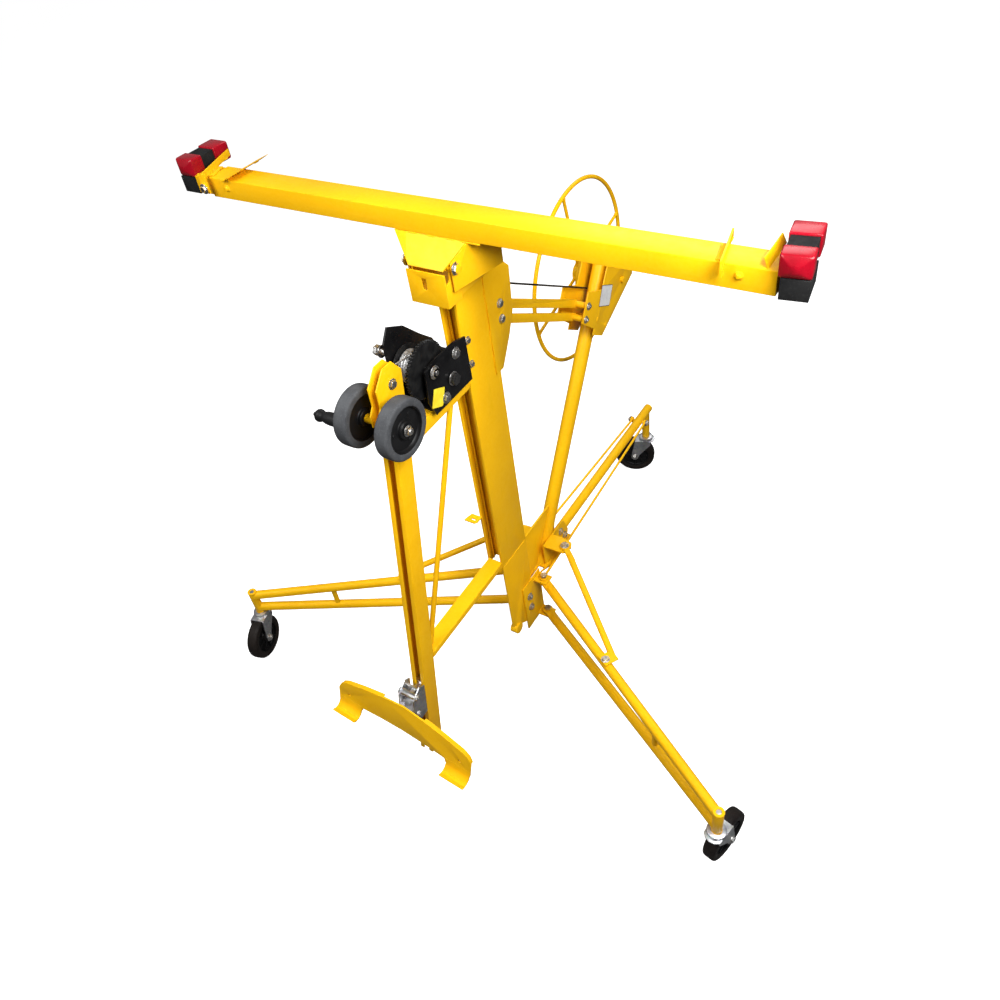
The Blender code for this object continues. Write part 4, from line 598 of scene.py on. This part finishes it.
EDGE_WIDTHS = {
    "cross_beam": 0.0010,
    "arm_extension_left": 0.0012,
    "arm_extension_right": 0.0012,
    "loader_track": 0.0008,
    "mast_outer_channel": 0.0010,
    "mast_base_section": 0.0010,
    "loader_arm": 0.0012,
    "loader_strut": 0.0010,
    "carrier_bar": 0.0011,
    "tilt_hood": 0.0008,
    "head_box": 0.0008,
    "pad_cap_front_left": 0.0026,
    "pad_cap_rear_left": 0.0026,
    "pad_cap_front_right": 0.0026,
    "pad_cap_rear_right": 0.0026,
    "pad_core_left": 0.0022,
    "pad_core_right": 0.0022,
    "loader_drum": 0.0004,
    "winch_crank": 0.0005,
}
DEFAULT_EDGE = 0.0006

# Nodes whose flat faces stay split, because a merged face with holes would fold under its rounded edges.
SPLIT_FACES = {
    "arm_extension_left", "arm_extension_right", "caster_fork_left", "cross_beam", "end_flange_right",
    "inner_mast_stage", "leg_hinge_bracket_right", "panel_carriage", "side_brace_left", "side_brace_right",
}


def dress_cad_nodes():
    """Give every CAD node its finish and rounded edges."""
    slots = {entry["node"]: entry["material_slot"] for entry in FRAME["record"]["subparts"]}
    for name, node in FRAME["nodes"].items():
        node.data.materials.clear()
        finish = "dark_cable" if name == "lift_cable" else slots[name]
        node.data.materials.append(MATERIALS[finish])
        soften(node, EDGE_WIDTHS.get(name, DEFAULT_EDGE), name not in SPLIT_FACES)


# ---------------------------------------------------------------- rear winch


def post_frame():
    """Placement along the winch post: local x up the post, y behind it, z to the right."""
    return axes_at(at(*POST_FOOT), POST_DIR, POST_SIDE, X)


def handwheel():
    """Round rim, four spokes with weld collars, and a stepped hub on the winch shaft."""
    builder = bmesh.new()
    axle = joint_point("lift_handwheel_spin")
    centre = axle + X * HANDWHEEL_X
    section = [
        (HANDWHEEL_R + RIM_R * math.cos(a), RIM_R * math.sin(a))
        for a in (2.0 * math.pi * i / 20 for i in range(20))
    ]
    add_lathe(builder, centre, X, section, 180)
    for i in range(4):
        angle = math.radians(SPOKE_START_DEG + 90.0 * i)
        out = Vector((0.0, math.cos(angle), math.sin(angle)))
        shares = (0.09, 0.11, 0.14, 0.30, 0.60, 0.95, 0.972, 0.99)
        radii = (0.0070, 0.0064, SPOKE_R, SPOKE_R, SPOKE_R, SPOKE_R, 0.0052, 0.0050)
        add_tube(builder, [centre + out * HANDWHEEL_R * share for share in shares], radii, 24)
    hub = [
        (0.0060, -0.0080), (0.0235, -0.0080), (0.0255, -0.0068), (0.0260, -0.0050),
        (0.0260, 0.0052), (0.0250, 0.0066), (0.0190, 0.0072), (0.0180, 0.0084),
        (0.0180, 0.0142), (0.0170, 0.0150), (0.0060, 0.0150),
    ]
    add_lathe(builder, centre, X, hub, 64)
    shaft_end = WINCH_PLATE_X + 0.008 - HANDWHEEL_X
    shaft = [
        (0.0060, -0.0140), (0.0074, -0.0128), (0.0080, -0.0120),
        (0.0080, shaft_end - 0.0012), (0.0066, shaft_end),
    ]
    add_lathe(builder, centre, X, shaft, 40, False)
    make_piece("handwheel", builder, "yellow_paint", "lift_winch",
               replaces=["winch_handwheel"])


def brake_drum():
    """Pressed brake housing with a stepped face and a rolled edge."""
    profile = [
        (WINCH_SHAFT_R, -0.0660), (0.0280, -0.0660), (0.0300, -0.0655), (0.0325, -0.0632),
        (0.0345, -0.0622), (0.0480, -0.0618), (0.0495, -0.0608), (0.0510, -0.0606),
        (0.0680, -0.0602), (0.0712, -0.0592), (0.0727, -0.0570), (0.0730, -0.0545),
        (0.0730, -0.0440), (0.0724, -0.0412), (0.0708, -0.0394), (0.0690, -0.0385),
        (WINCH_SHAFT_R, -0.0385),
    ]
    builder = bmesh.new()
    add_lathe(builder, joint_point("lift_handwheel_spin"), X, profile, 128)
    make_piece("brake_drum", builder, "yellow_paint", "lift_winch",
               replaces=["winch_brake_drum"])


def both_halves(half):
    """A ring profile that is the same on both sides of its middle, from one side of it."""
    return [(r, -h) for r, h in half] + [(r, h) for r, h in reversed(half)]


def coil_points(centre, radius, low, high, turns, steps=40):
    """Points of a helix about the X direction."""
    total = int(turns * steps)
    points = []
    for i in range(total + 1):
        angle = 2.0 * math.pi * i / steps
        x = low + (high - low) * i / total
        points.append(centre + Vector((x, radius * math.cos(angle), radius * math.sin(angle))))
    return points


def cable_drum():
    """Flanged drum between the winch plates, with the lift cable wound on it."""
    axle = joint_point("lift_handwheel_spin")
    half = (
        (WINCH_SHAFT_R, 0.0320), (0.0442, 0.0320), (0.0450, 0.0314), (0.0450, 0.0306),
        (0.0442, 0.0300), (0.0290, 0.0294), (0.0286, 0.0288),
    )
    builder = bmesh.new()
    add_lathe(builder, axle, X, both_halves(half), 96)
    make_piece("cable_drum", builder, "yellow_paint", "lift_winch",
               replaces=["winch_cable_drum"])
    builder = bmesh.new()
    add_tube(builder, coil_points(axle, 0.0304, -0.0268, 0.0268, 12), 0.0022, 10)
    make_piece("wound_lift_cable", builder, "dark_cable", "lift_winch")


def add_strands(builder, start, end, radius, pitch, strands=6):
    """A straight rope of twisted strands."""
    frame = along_axis(start, end - start)
    length = (end - start).length
    steps = max(8, int(length / pitch * 12))
    lay = radius * 0.62
    for k in range(strands):
        points = []
        for i in range(steps + 1):
            h = length * i / steps
            angle = 2.0 * math.pi * (h / pitch + k / strands)
            points.append(frame @ Vector((lay * math.cos(angle), lay * math.sin(angle), h)))
        add_tube(builder, points, radius * 0.40, 7)


def ropes():
    """Both cables as twisted strands."""
    axle = joint_point("lift_handwheel_spin")
    start = at(-0.0060, 0.0568, 1.127)
    run = (axle - start).normalized()
    below = X.cross(run).normalized() * -0.0342
    builder = bmesh.new()
    add_strands(builder, start, axle + below - X * 0.0250, 0.0023, 0.016)
    make_piece("lift_cable_rope", builder, "dark_cable", "base",
               replaces=["lift_cable"])
    drum = joint_point("loader_drum_spin")
    sheave = joint_point("pulley_spin")
    builder = bmesh.new()
    start = drum + Vector((-0.006, -0.012, 0.0318))
    add_strands(builder, start, sheave + Vector((0.0, 0.006, 0.0228)), 0.0020, 0.012)
    make_piece("loader_cable_rope", builder, "wire_rope", "base",
               replaces=["loader_cable"])


def rear_winch_bolts():
    """Bolts of the brace bars through both winch plates."""
    frame = post_frame()
    builder = bmesh.new()
    for u, w in ((0.6690, -0.098), (0.6370, -0.098)):
        for side in (-1, 1):
            spot = frame @ Vector((u, w, side * (WINCH_PLATE_X + 0.0002)))
            add_bolt(builder, spot, X * side, 0.0070, 0.0046, stub=0.0020)
    make_piece("rear_winch_bolts", builder, "bolt", "base", 0.0003)


def winch_pawl():
    """Pawl, its bolt and its coil spring on the right winch plate."""
    frame = post_frame()
    builder = bmesh.new()
    outline = [
        (0.8020, 0.066), (0.8080, 0.090), (0.8150, 0.092), (0.8230, 0.072),
        (0.8320, 0.058), (0.8280, 0.050), (0.8150, 0.058),
    ]
    face = WINCH_PLATE_X + 0.0040
    pin_u, pin_w = 0.8120, 0.070
    add_prism(builder, frame, outline, WINCH_PLATE_X + 0.0004, WINCH_PLATE_X + 0.0042)
    add_bolt(builder, frame @ Vector((pin_u, pin_w, face)), X, 0.0052, 0.0040)
    spring = coil_points(frame @ Vector((pin_u, pin_w, 0.0)), 0.0075, face, face + 0.0026, 3.0)
    add_tube(builder, spring, 0.0007, 8)
    make_piece("winch_pawl", builder, "zinc_plate", "base", 0.0004)


def rear_winch_label():
    """Blank white label with a dark border on the right winch plate."""
    middle = at(WINCH_PLATE_X, 0.5157, 0.8461)
    along = Vector((0.0, 0.893, -0.449)).normalized()
    place = axes_at(middle, along, X.cross(along), X)
    builder = bmesh.new()
    label(builder, place, 0.0310, 0.0265)
    make_piece("label_border_rear", builder, "dark_film", "base")
    builder = bmesh.new()
    label(builder, place @ Matrix.Translation((0.0, 0.0, 0.00025)), 0.0295, 0.0250)
    make_piece("blank_label_rear", builder, "white_label", "base")


def label(builder, frame, half_x, half_y):
    """A thin blank sticker with rounded corners, raised above its plate."""
    corner = 0.003
    outline = []
    for sx, sy, start in ((1, 1, 0.0), (-1, 1, 90.0), (-1, -1, 180.0), (1, -1, 270.0)):
        for step in range(5):
            angle = math.radians(start + 22.5 * step)
            outline.append((
                sx * (half_x - corner) + corner * math.cos(angle),
                sy * (half_y - corner) + corner * math.sin(angle),
            ))
    add_prism(builder, frame, outline, 0.00005, 0.00040)


# ---------------------------------------------------------------- casters


def caster(side):
    """Tyre, ribbed hub, swivel bearing and bolts of one caster."""
    foot = joint_point(side + "_caster_swivel")
    foot.z = 0.0
    hub = joint_point(side + "_wheel_spin")
    axle = Vector((hub.x - foot.x, hub.y - foot.y, 0.0)).normalized().cross(Z)
    half = (
        (0.0446, 0.0118), (0.0452, 0.0142), (0.0470, 0.0152), (0.0560, 0.0154), (0.0590, 0.0150),
        (0.0612, 0.0138), (0.0626, 0.0116), (0.0633, 0.0085), (CASTER_R, 0.0050),
    )
    builder = bmesh.new()
    add_lathe(builder, hub, axle, both_halves(half), 128)
    make_piece("caster_tyre_" + side, builder, "caster_tyre", "wheel_" + side,
               replaces=["caster_wheel_" + side])
    builder = bmesh.new()
    web = (
        (0.0052, 0.0168), (0.0140, 0.0168), (0.0150, 0.0160), (0.0156, 0.0072), (0.0170, 0.0052),
        (0.0420, 0.0052), (0.0432, 0.0066), (0.0436, 0.0138), (0.0450, 0.0138),
    )
    add_lathe(builder, hub, axle, both_halves(web), 96)
    for i in range(8):
        turn = 2.0 * math.pi * i / 8
        spoke = along_axis(hub, axle) @ Matrix.Rotation(turn, 4, "Z")
        add_box(builder, (0.0145, -0.0012, -0.0120), (0.0438, 0.0012, 0.0120), spoke)
    make_piece("caster_hub_" + side, builder, "hub_plastic", "wheel_" + side, 0.0004)
    builder = bmesh.new()
    race = [
        (0.0062, 0.1288), (0.0200, 0.1288), (0.0214, 0.1298), (0.0220, 0.1320),
        (0.0214, 0.1338), (0.0196, 0.1345), (0.0202, 0.1352), (0.0218, 0.1362),
        (0.0222, 0.1382), (0.0214, 0.1402), (0.0190, 0.1412), (0.0062, 0.1412),
    ]
    add_lathe(builder, foot, Z, race, 72)
    make_piece("swivel_race_" + side, builder, "zinc_plate", "fork_" + side)
    builder = bmesh.new()
    add_bolt(builder, hub + axle * 0.0206, axle, 0.0085, 0.0056)
    add_bolt(builder, hub - axle * 0.0206, -axle, 0.0085, 0.0056, stub=0.0016)
    make_piece("caster_bolts_" + side, builder, "bolt", "fork_" + side, 0.0003)


# ---------------------------------------------------------------- loader


def panel_roller(side):
    """Grey tyre on a dished black hub, with a ring of small bosses."""
    label_side = "right" if side > 0 else "left"
    body = "roller_" + label_side
    centre = joint_point(label_side + "_roller_spin")
    out = X * side
    half = (
        (0.0440, 0.0120), (0.0448, 0.0138), (0.0462, 0.0144), (0.0540, 0.0145), (0.0566, 0.0140),
        (0.0581, 0.0126), (0.0588, 0.0104), (ROLLER_R, 0.0078), (ROLLER_R, 0.0030),
    )
    builder = bmesh.new()
    add_lathe(builder, centre, out, both_halves(half), 144)
    make_piece("roller_tyre_" + label_side, builder, "roller_rubber", body,
               replaces=["panel_roller_" + label_side])
    builder = bmesh.new()
    dish = [
        (0.0057, -0.0143), (0.0150, -0.0143), (0.0160, -0.0134), (0.0166, -0.0092), (0.0180, -0.0080),
        (0.0400, -0.0080), (0.0416, -0.0092), (0.0424, -0.0132), (0.0442, -0.0136),
        (0.0442, 0.0136), (0.0424, 0.0130), (0.0414, 0.0088), (0.0396, 0.0070),
        (0.0200, 0.0070), (0.0184, 0.0082), (0.0176, 0.0120), (0.0160, 0.0136), (0.0057, 0.0140),
    ]
    add_lathe(builder, centre, out, dish, 112)
    for i in range(3):
        turn = 2.0 * math.pi * (i + 0.4) / 3
        spot = along_axis(centre, out) @ Vector((0.0295 * math.cos(turn), 0.0295 * math.sin(turn), 0.0060))
        add_lathe(builder, spot, out, [(0.0040, 0.0), (0.0040, 0.0022), (0.0032, 0.0028)], 28, False)
    make_piece("roller_hub_" + label_side, builder, "hub_plastic", body)


def pulley():
    """Turned grooved pulley."""
    profile = [
        (0.0043, -0.0059), (0.0198, -0.0059), (0.0210, -0.0050), (0.0208, -0.0044),
        (0.0176, -0.0014), (0.0172, 0.0), (0.0176, 0.0014), (0.0208, 0.0044),
        (0.0210, 0.0050), (0.0198, 0.0059), (0.0043, 0.0059),
    ]
    builder = bmesh.new()
    add_lathe(builder, joint_point("pulley_spin"), X, profile, 72)
    make_piece("grooved_pulley", builder, "dark_steel", "pulley",
               replaces=["cable_pulley"])


def crank_grip():
    """Turned grip with a knob, a narrow neck and a swelling body."""
    pin = joint_point("crank_grip_spin")
    start = Vector((MAST_FOOT.x + GRIP_START_X, pin.y, pin.z))
    shape = (
        (0.0000, 0.0049), (0.0000, 0.0112), (0.0014, 0.0128), (0.0040, 0.0134), (0.0066, 0.0130),
        (0.0088, 0.0116), (0.0120, 0.0108), (0.0200, 0.0112), (0.0340, 0.0126), (0.0480, 0.0136),
        (0.0600, 0.0138), (0.0700, 0.0130), (0.0760, 0.0114), (0.0790, 0.0102), (0.0820, 0.0104),
        (0.0850, 0.0120), (0.0880, 0.0132), (0.0910, 0.0134), (0.0950, 0.0122), (0.0978, 0.0096),
        (GRIP_LENGTH, 0.0049),
    )
    builder = bmesh.new()
    add_lathe(builder, start, -X, [(r, h) for h, r in shape], 80)
    make_piece("turned_grip", builder, "grip_plastic", "grip", replaces=["crank_grip"])


def wound_loader_cable():
    """Cable wound on the loader's drum."""
    builder = bmesh.new()
    add_tube(builder, coil_points(joint_point("loader_drum_spin"), 0.0306, -0.0218, 0.0054, 9), 0.0015, 10)
    make_piece("wound_loader_cable", builder, "wire_rope", "loader_gear")


def loader_winch_bolts():
    """Bolts of the black frame, its pawl knob, and the nuts of both shafts."""
    builder = bmesh.new()
    for y, z in LOADER_BOLTS:
        add_bolt(builder, at(LOADER_PLATE_X, y, z), X, 0.0088, 0.0058)
        add_bolt(builder, at(-LOADER_PLATE_X, y, z), -X, 0.0078, 0.0052)
    pawl = at(-0.0600, -0.206, 1.120)
    knob = [
        (0.0063, 0.0), (0.0063, 0.0050), (0.0125, 0.0054), (0.0125, 0.0072), (0.0063, 0.0078),
        (0.0063, 0.0164),
    ]
    end = [(0.0050, 0.0), (0.0062, 0.0010), (0.0062, 0.0030)]
    add_bolt(builder, pawl, X, 0.0100, 0.0092, washer=False)
    add_lathe(builder, pawl + X * 0.0085, X, knob, 40, False)
    add_lathe(builder, pawl - X * 0.0022, X, end, 28, False)
    make_piece("loader_winch_bolts", builder, "bolt", "base", 0.0003)
    builder = bmesh.new()
    add_bolt(builder, joint_point("loader_drum_spin") + X * 0.0386, X, 0.0098, 0.0056, stub=0.0010)
    make_piece("drum_shaft_nut", builder, "bolt", "loader_gear", 0.0003)
    builder = bmesh.new()
    add_bolt(builder, joint_point("loader_crank_spin") + X * 0.0382, X, 0.0104, 0.0080)
    make_piece("pinion_shaft_nut", builder, "bolt", "crank", 0.0004)


def loader_label():
    """Blank yellow label on the black frame."""
    builder = bmesh.new()
    along = Vector((0.0, 0.90, -0.43)).normalized()
    place = axes_at(at(LOADER_PLATE_X, -0.1725, 1.0145), along, X.cross(along), X)
    label(builder, place, 0.0175, 0.0190)
    make_piece("blank_label_loader", builder, "yellow_label", "base")


def roller_bolts():
    """Nuts on the roller axle and the pulley bolt."""
    axle = joint_point("left_roller_spin")
    axle.x = MAST_FOOT.x
    pulley_axle = joint_point("pulley_spin")
    builder = bmesh.new()
    for side in (-1, 1):
        add_bolt(builder, axle + X * side * 0.0622, X * side, 0.0080, 0.0066)
        end_cap = [(0.0060, 0.0), (0.0060, 0.0086), (0.0052, 0.0096), (0.0020, 0.0100)]
        add_lathe(builder, axle + X * side * 0.0614, X * side, end_cap, 32, False)
        add_bolt(builder, pulley_axle + X * side * 0.0104, X * side, 0.0078, 0.0056)
    make_piece("roller_nuts", builder, "bolt", "base", 0.0003)


# ---------------------------------------------------------------- bolts and welds of the frame


def frame_bolts():
    """Bolt heads and nuts of the mast, the hub and the leg hinges."""
    builder = bmesh.new()
    for side in (-1, 1):
        out = X * side
        for z in EAR_BOLT_HEIGHTS:
            add_bolt(builder, at(side * 0.0226, EAR_BOLT_Y, z), out, 0.0086, 0.0072, washer=False)
            add_bolt(builder, at(side * 0.0246, EAR_BOLT_Y, z), out, 0.0070, 0.0058)
        for y, z in HUB_BOLTS:
            add_bolt(builder, at(side * 0.0237, y, z), out, 0.0079, 0.0056, stub=0.0012)
        for z in HINGE_BOLT_HEIGHTS:
            add_bolt(builder, at(side * 0.0254, 0.030, z), out, 0.0082, 0.0068, stub=0.0012)
        for z in LEG_PIN_HEADS:
            add_bolt(builder, at(side * LEG_PIVOT.x, LEG_PIVOT.y, z), Z, 0.0090, 0.0058, washer=False)
        for z in LEG_PIN_NUTS:
            add_bolt(builder, at(side * LEG_PIVOT.x, LEG_PIVOT.y, z), Z, 0.0085, 0.0048, washer=False)
        add_bolt(builder, at(side * 0.0272, 0.775, 0.243), out, 0.0075, 0.0055, stub=0.0016)
    for z in (1.056, 1.001):
        add_bolt(builder, at(0.0210, -0.040, z), X, 0.0062, 0.0048)
        add_bolt(builder, at(-0.0210, -0.040, z), -X, 0.0062, 0.0048)
    make_piece("frame_bolts", builder, "bolt", "base", 0.0003)


def leg_bolts(side):
    """Lock bolt of the brace and the bolt of its tab, which fold with the leg."""
    name = "right" if side > 0 else "left"
    root = at(side * BRACE_PIN.x, BRACE_PIN.y, BRACE_PIN.z)
    builder = bmesh.new()
    add_bolt(builder, root + Z * 0.0026, Z, 0.0085, 0.0062)
    add_bolt(builder, root - Z * 0.0026, -Z, 0.0085, 0.0052)
    spot = LEG_PIVOT.lerp(LEG_FOOT, LEG_TAB_SHARE)
    add_bolt(builder, at(side * spot.x, spot.y, spot.z + 0.0170), Z, 0.0080, 0.0048)
    make_piece("brace_bolts_" + name, builder, "bolt", "leg_" + name, 0.0003)
    stem = joint_point(name + "_caster_swivel")
    builder = bmesh.new()
    collar = [(0.0066, -0.0010), (0.0123, -0.0010), (0.0127, -0.0003), (0.0123, 0.0009), (0.0066, 0.0009)]
    for z in SOCKET_ENDS:
        add_lathe(builder, Vector((stem.x, stem.y, z)), Z, collar, 40)
    make_piece("stem_rims_" + name, builder, "yellow_paint", "leg_" + name)


def head_bolts():
    """Pivot bolt heads of the tilting head and the bolt of its left end."""
    pivot = joint_point("head_tilt")
    builder = bmesh.new()
    for side in (-1, 1):
        add_bolt(builder, pivot + X * side * 0.0536, X * side, 0.0090, 0.0060)
    washer = at(-0.5650, -0.0680, 1.2980)
    add_bolt(builder, washer - Y * 0.0001, -Y, 0.0066, 0.0044, washer=False)
    rim = [
        (0.0030, -0.0002), (0.0104, -0.0002), (0.0107, 0.0004),
        (0.0107, 0.0012), (0.0100, 0.0016), (0.0030, 0.0016),
    ]
    add_lathe(builder, washer + Y * 0.0010, -Y, rim, 48)
    make_piece("head_bolts", builder, "bolt", "head", 0.0003)


def snap_buttons():
    """Buttons that hold the sliding arms, on the beam's front face."""
    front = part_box("cross_beam")[0].y
    button = [
        (0.0075, -0.0002), (0.0075, 0.0004), (0.0062, 0.0012), (0.0048, 0.0016), (0.0044, 0.0034),
        (0.0028, 0.0046),
    ]
    builder = bmesh.new()
    for x in (0.5476, -0.5150):
        spot = at(x, 0.0, 1.2980)
        spot.y = front
        add_lathe(builder, spot, -Y, button, 40, False)
    make_piece("snap_buttons", builder, "yellow_paint", "head")


def beam_welds():
    """Short welds along the foot of each plate that stands on the beam."""
    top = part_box("cross_beam")[1].z
    builder = bmesh.new()
    for name in ("edge_rest_left", "edge_rest_right", "end_flange_left", "end_flange_right"):
        corners = FRAME["nodes"][name].data.vertices
        foot = [corner.co for corner in corners if abs(corner.co.z - top) < 0.0008]
        if len(foot) < 4:
            continue
        first = min(foot, key=lambda c: c.y)
        last = max(foot, key=lambda c: c.y)
        run = last - first
        for share in (0.10, 0.45, 0.80):
            start = first + run * share
            start.z = top + 0.0004
            end = start + run.normalized() * 0.014
            end.z = start.z
            weld_bead(builder, start, end, 0.0015)
    make_piece("beam_welds", builder, "yellow_paint", "head")


def weld_bead(builder, start, end, radius=0.0016):
    """A rippled fillet of weld metal along a joint."""
    length = (end - start).length
    steps = max(6, int(length / 0.0016))
    points = [start.lerp(end, i / steps) for i in range(steps + 1)]
    radii = []
    for i in range(steps + 1):
        taper = min(1.0, i / 2.0 + 0.4, (steps - i) / 2.0 + 0.4)
        ripple = 1.0 + 0.10 * math.sin(i * 2.1) + random.uniform(-0.07, 0.07)
        radii.append(radius * taper * ripple)
    add_tube(builder, points, radii, 10)


def weld_beads():
    """Painted welds where plates and tubes join."""
    builder = bmesh.new()
    weld_bead(builder, at(0.0211, -0.050, 0.4022), at(0.0211, 0.052, 0.4022))
    for side in (-1, 1):
        weld_bead(builder, at(side * 0.0212, -0.0553, 0.9545), at(side * 0.0212, -0.0553, 0.9815))
        weld_bead(builder, at(side * 0.0195, -0.0553, 0.4050), at(side * 0.0195, -0.0553, 0.4195))
        weld_bead(builder, at(side * 0.0026, 0.060, 0.2300), at(side * 0.0026, 0.155, 0.2300))
        weld_bead(builder, at(side * 0.0214, 0.0565, 0.2335), at(side * 0.0214, 0.0565, 0.2150))
    weld_bead(builder, at(-0.0200, -0.0556, 0.9838), at(0.0200, -0.0556, 0.9838))
    weld_bead(builder, at(-0.0180, -0.0556, 0.4208), at(0.0180, -0.0556, 0.4208))
    for side in (-1, 1):
        for z in (0.940, 1.000, 1.095):
            weld_bead(builder, at(side * 0.0216, 0.0357, z), at(side * 0.0216, 0.0357, z + 0.030), 0.0013)
    make_piece("frame_welds", builder, "yellow_paint", "base")
    builder = bmesh.new()
    for x in (-0.060, -0.020, 0.022, 0.052):
        weld_bead(builder, at(x, -0.0513, 1.2740), at(x + 0.018, -0.0513, 1.2740), 0.0013)
    make_piece("head_welds", builder, "yellow_paint", "head")


def carriage_details():
    """Bolts of the panel carriage."""
    frame = axes_at(at(*TRACK_FOOT), X, TRACK_REAR, TRACK_DIR)
    builder = bmesh.new()
    for h in (0.179, 0.231):
        for side in (-1, 1):
            spot = frame @ Vector((side * 0.0224, -0.0360, h))
            add_bolt(builder, spot, X * side, 0.0072, 0.0036, stub=0.0008)
    make_piece("carriage_bolts", builder, "bolt", "carriage", 0.0003)


# ---------------------------------------------------------------- stage


def make_stage():
    """Pale floor, soft lights and the camera."""
    bpy.ops.mesh.primitive_plane_add(size=80.0, location=(0.0, 0.0, -0.0004))
    floor = bpy.context.object
    floor.name = "studio_floor"
    floor.data.materials.append(MATERIALS["floor"])

    world = bpy.data.worlds.new("studio")
    bpy.context.scene.world = world
    world.use_nodes = True
    sky = world.node_tree.nodes["Background"]
    seen = world.node_tree.nodes.new("ShaderNodeLightPath").outputs["Is Camera Ray"]
    strength = world.node_tree.nodes.new("ShaderNodeMapRange")
    strength.inputs["To Min"].default_value = SKY_FOR_OBJECT
    strength.inputs["To Max"].default_value = SKY_FOR_CAMERA
    world.node_tree.links.new(seen, strength.inputs["Value"])
    world.node_tree.links.new(strength.outputs["Result"], sky.inputs["Strength"])
    sky.inputs["Color"].default_value = rgb(1.0, 1.0, 1.0)

    for name, place, size, power in LAMPS:
        data = bpy.data.lights.new(name, "AREA")
        data.energy = power
        data.size = size
        lamp = bpy.data.objects.new(name, data)
        lamp.location = place
        aim = LAMP_TARGET - Vector(place)
        lamp.rotation_euler = aim.to_track_quat("-Z", "Y").to_euler()
        bpy.context.scene.collection.objects.link(lamp)

    camera = bpy.data.objects.new("camera", bpy.data.cameras.new("camera"))
    camera.data.lens = CAMERA_LENS
    camera.data.sensor_width = 36.0
    camera.matrix_world = axes_at(at(*CAMERA_PLACE), CAMERA_RIGHT, CAMERA_UP, CAMERA_RIGHT.cross(CAMERA_UP))
    bpy.context.scene.collection.objects.link(camera)
    bpy.context.scene.camera = camera
    bpy.context.scene.view_settings.view_transform = "Standard"


# ---------------------------------------------------------------- build


MATERIALS = make_materials()
SMOOTH = smooth_group()

dress_cad_nodes()
handwheel()
brake_drum()
cable_drum()
ropes()
rear_winch_bolts()
winch_pawl()
rear_winch_label()
for caster_side in ("left", "right", "rear"):
    caster(caster_side)
for roller_side in (-1, 1):
    panel_roller(roller_side)
    leg_bolts(roller_side)
pulley()
crank_grip()
wound_loader_cable()
loader_winch_bolts()
loader_label()
roller_bolts()
carriage_details()
frame_bolts()
head_bolts()
snap_buttons()
beam_welds()
weld_beads()
make_stage()
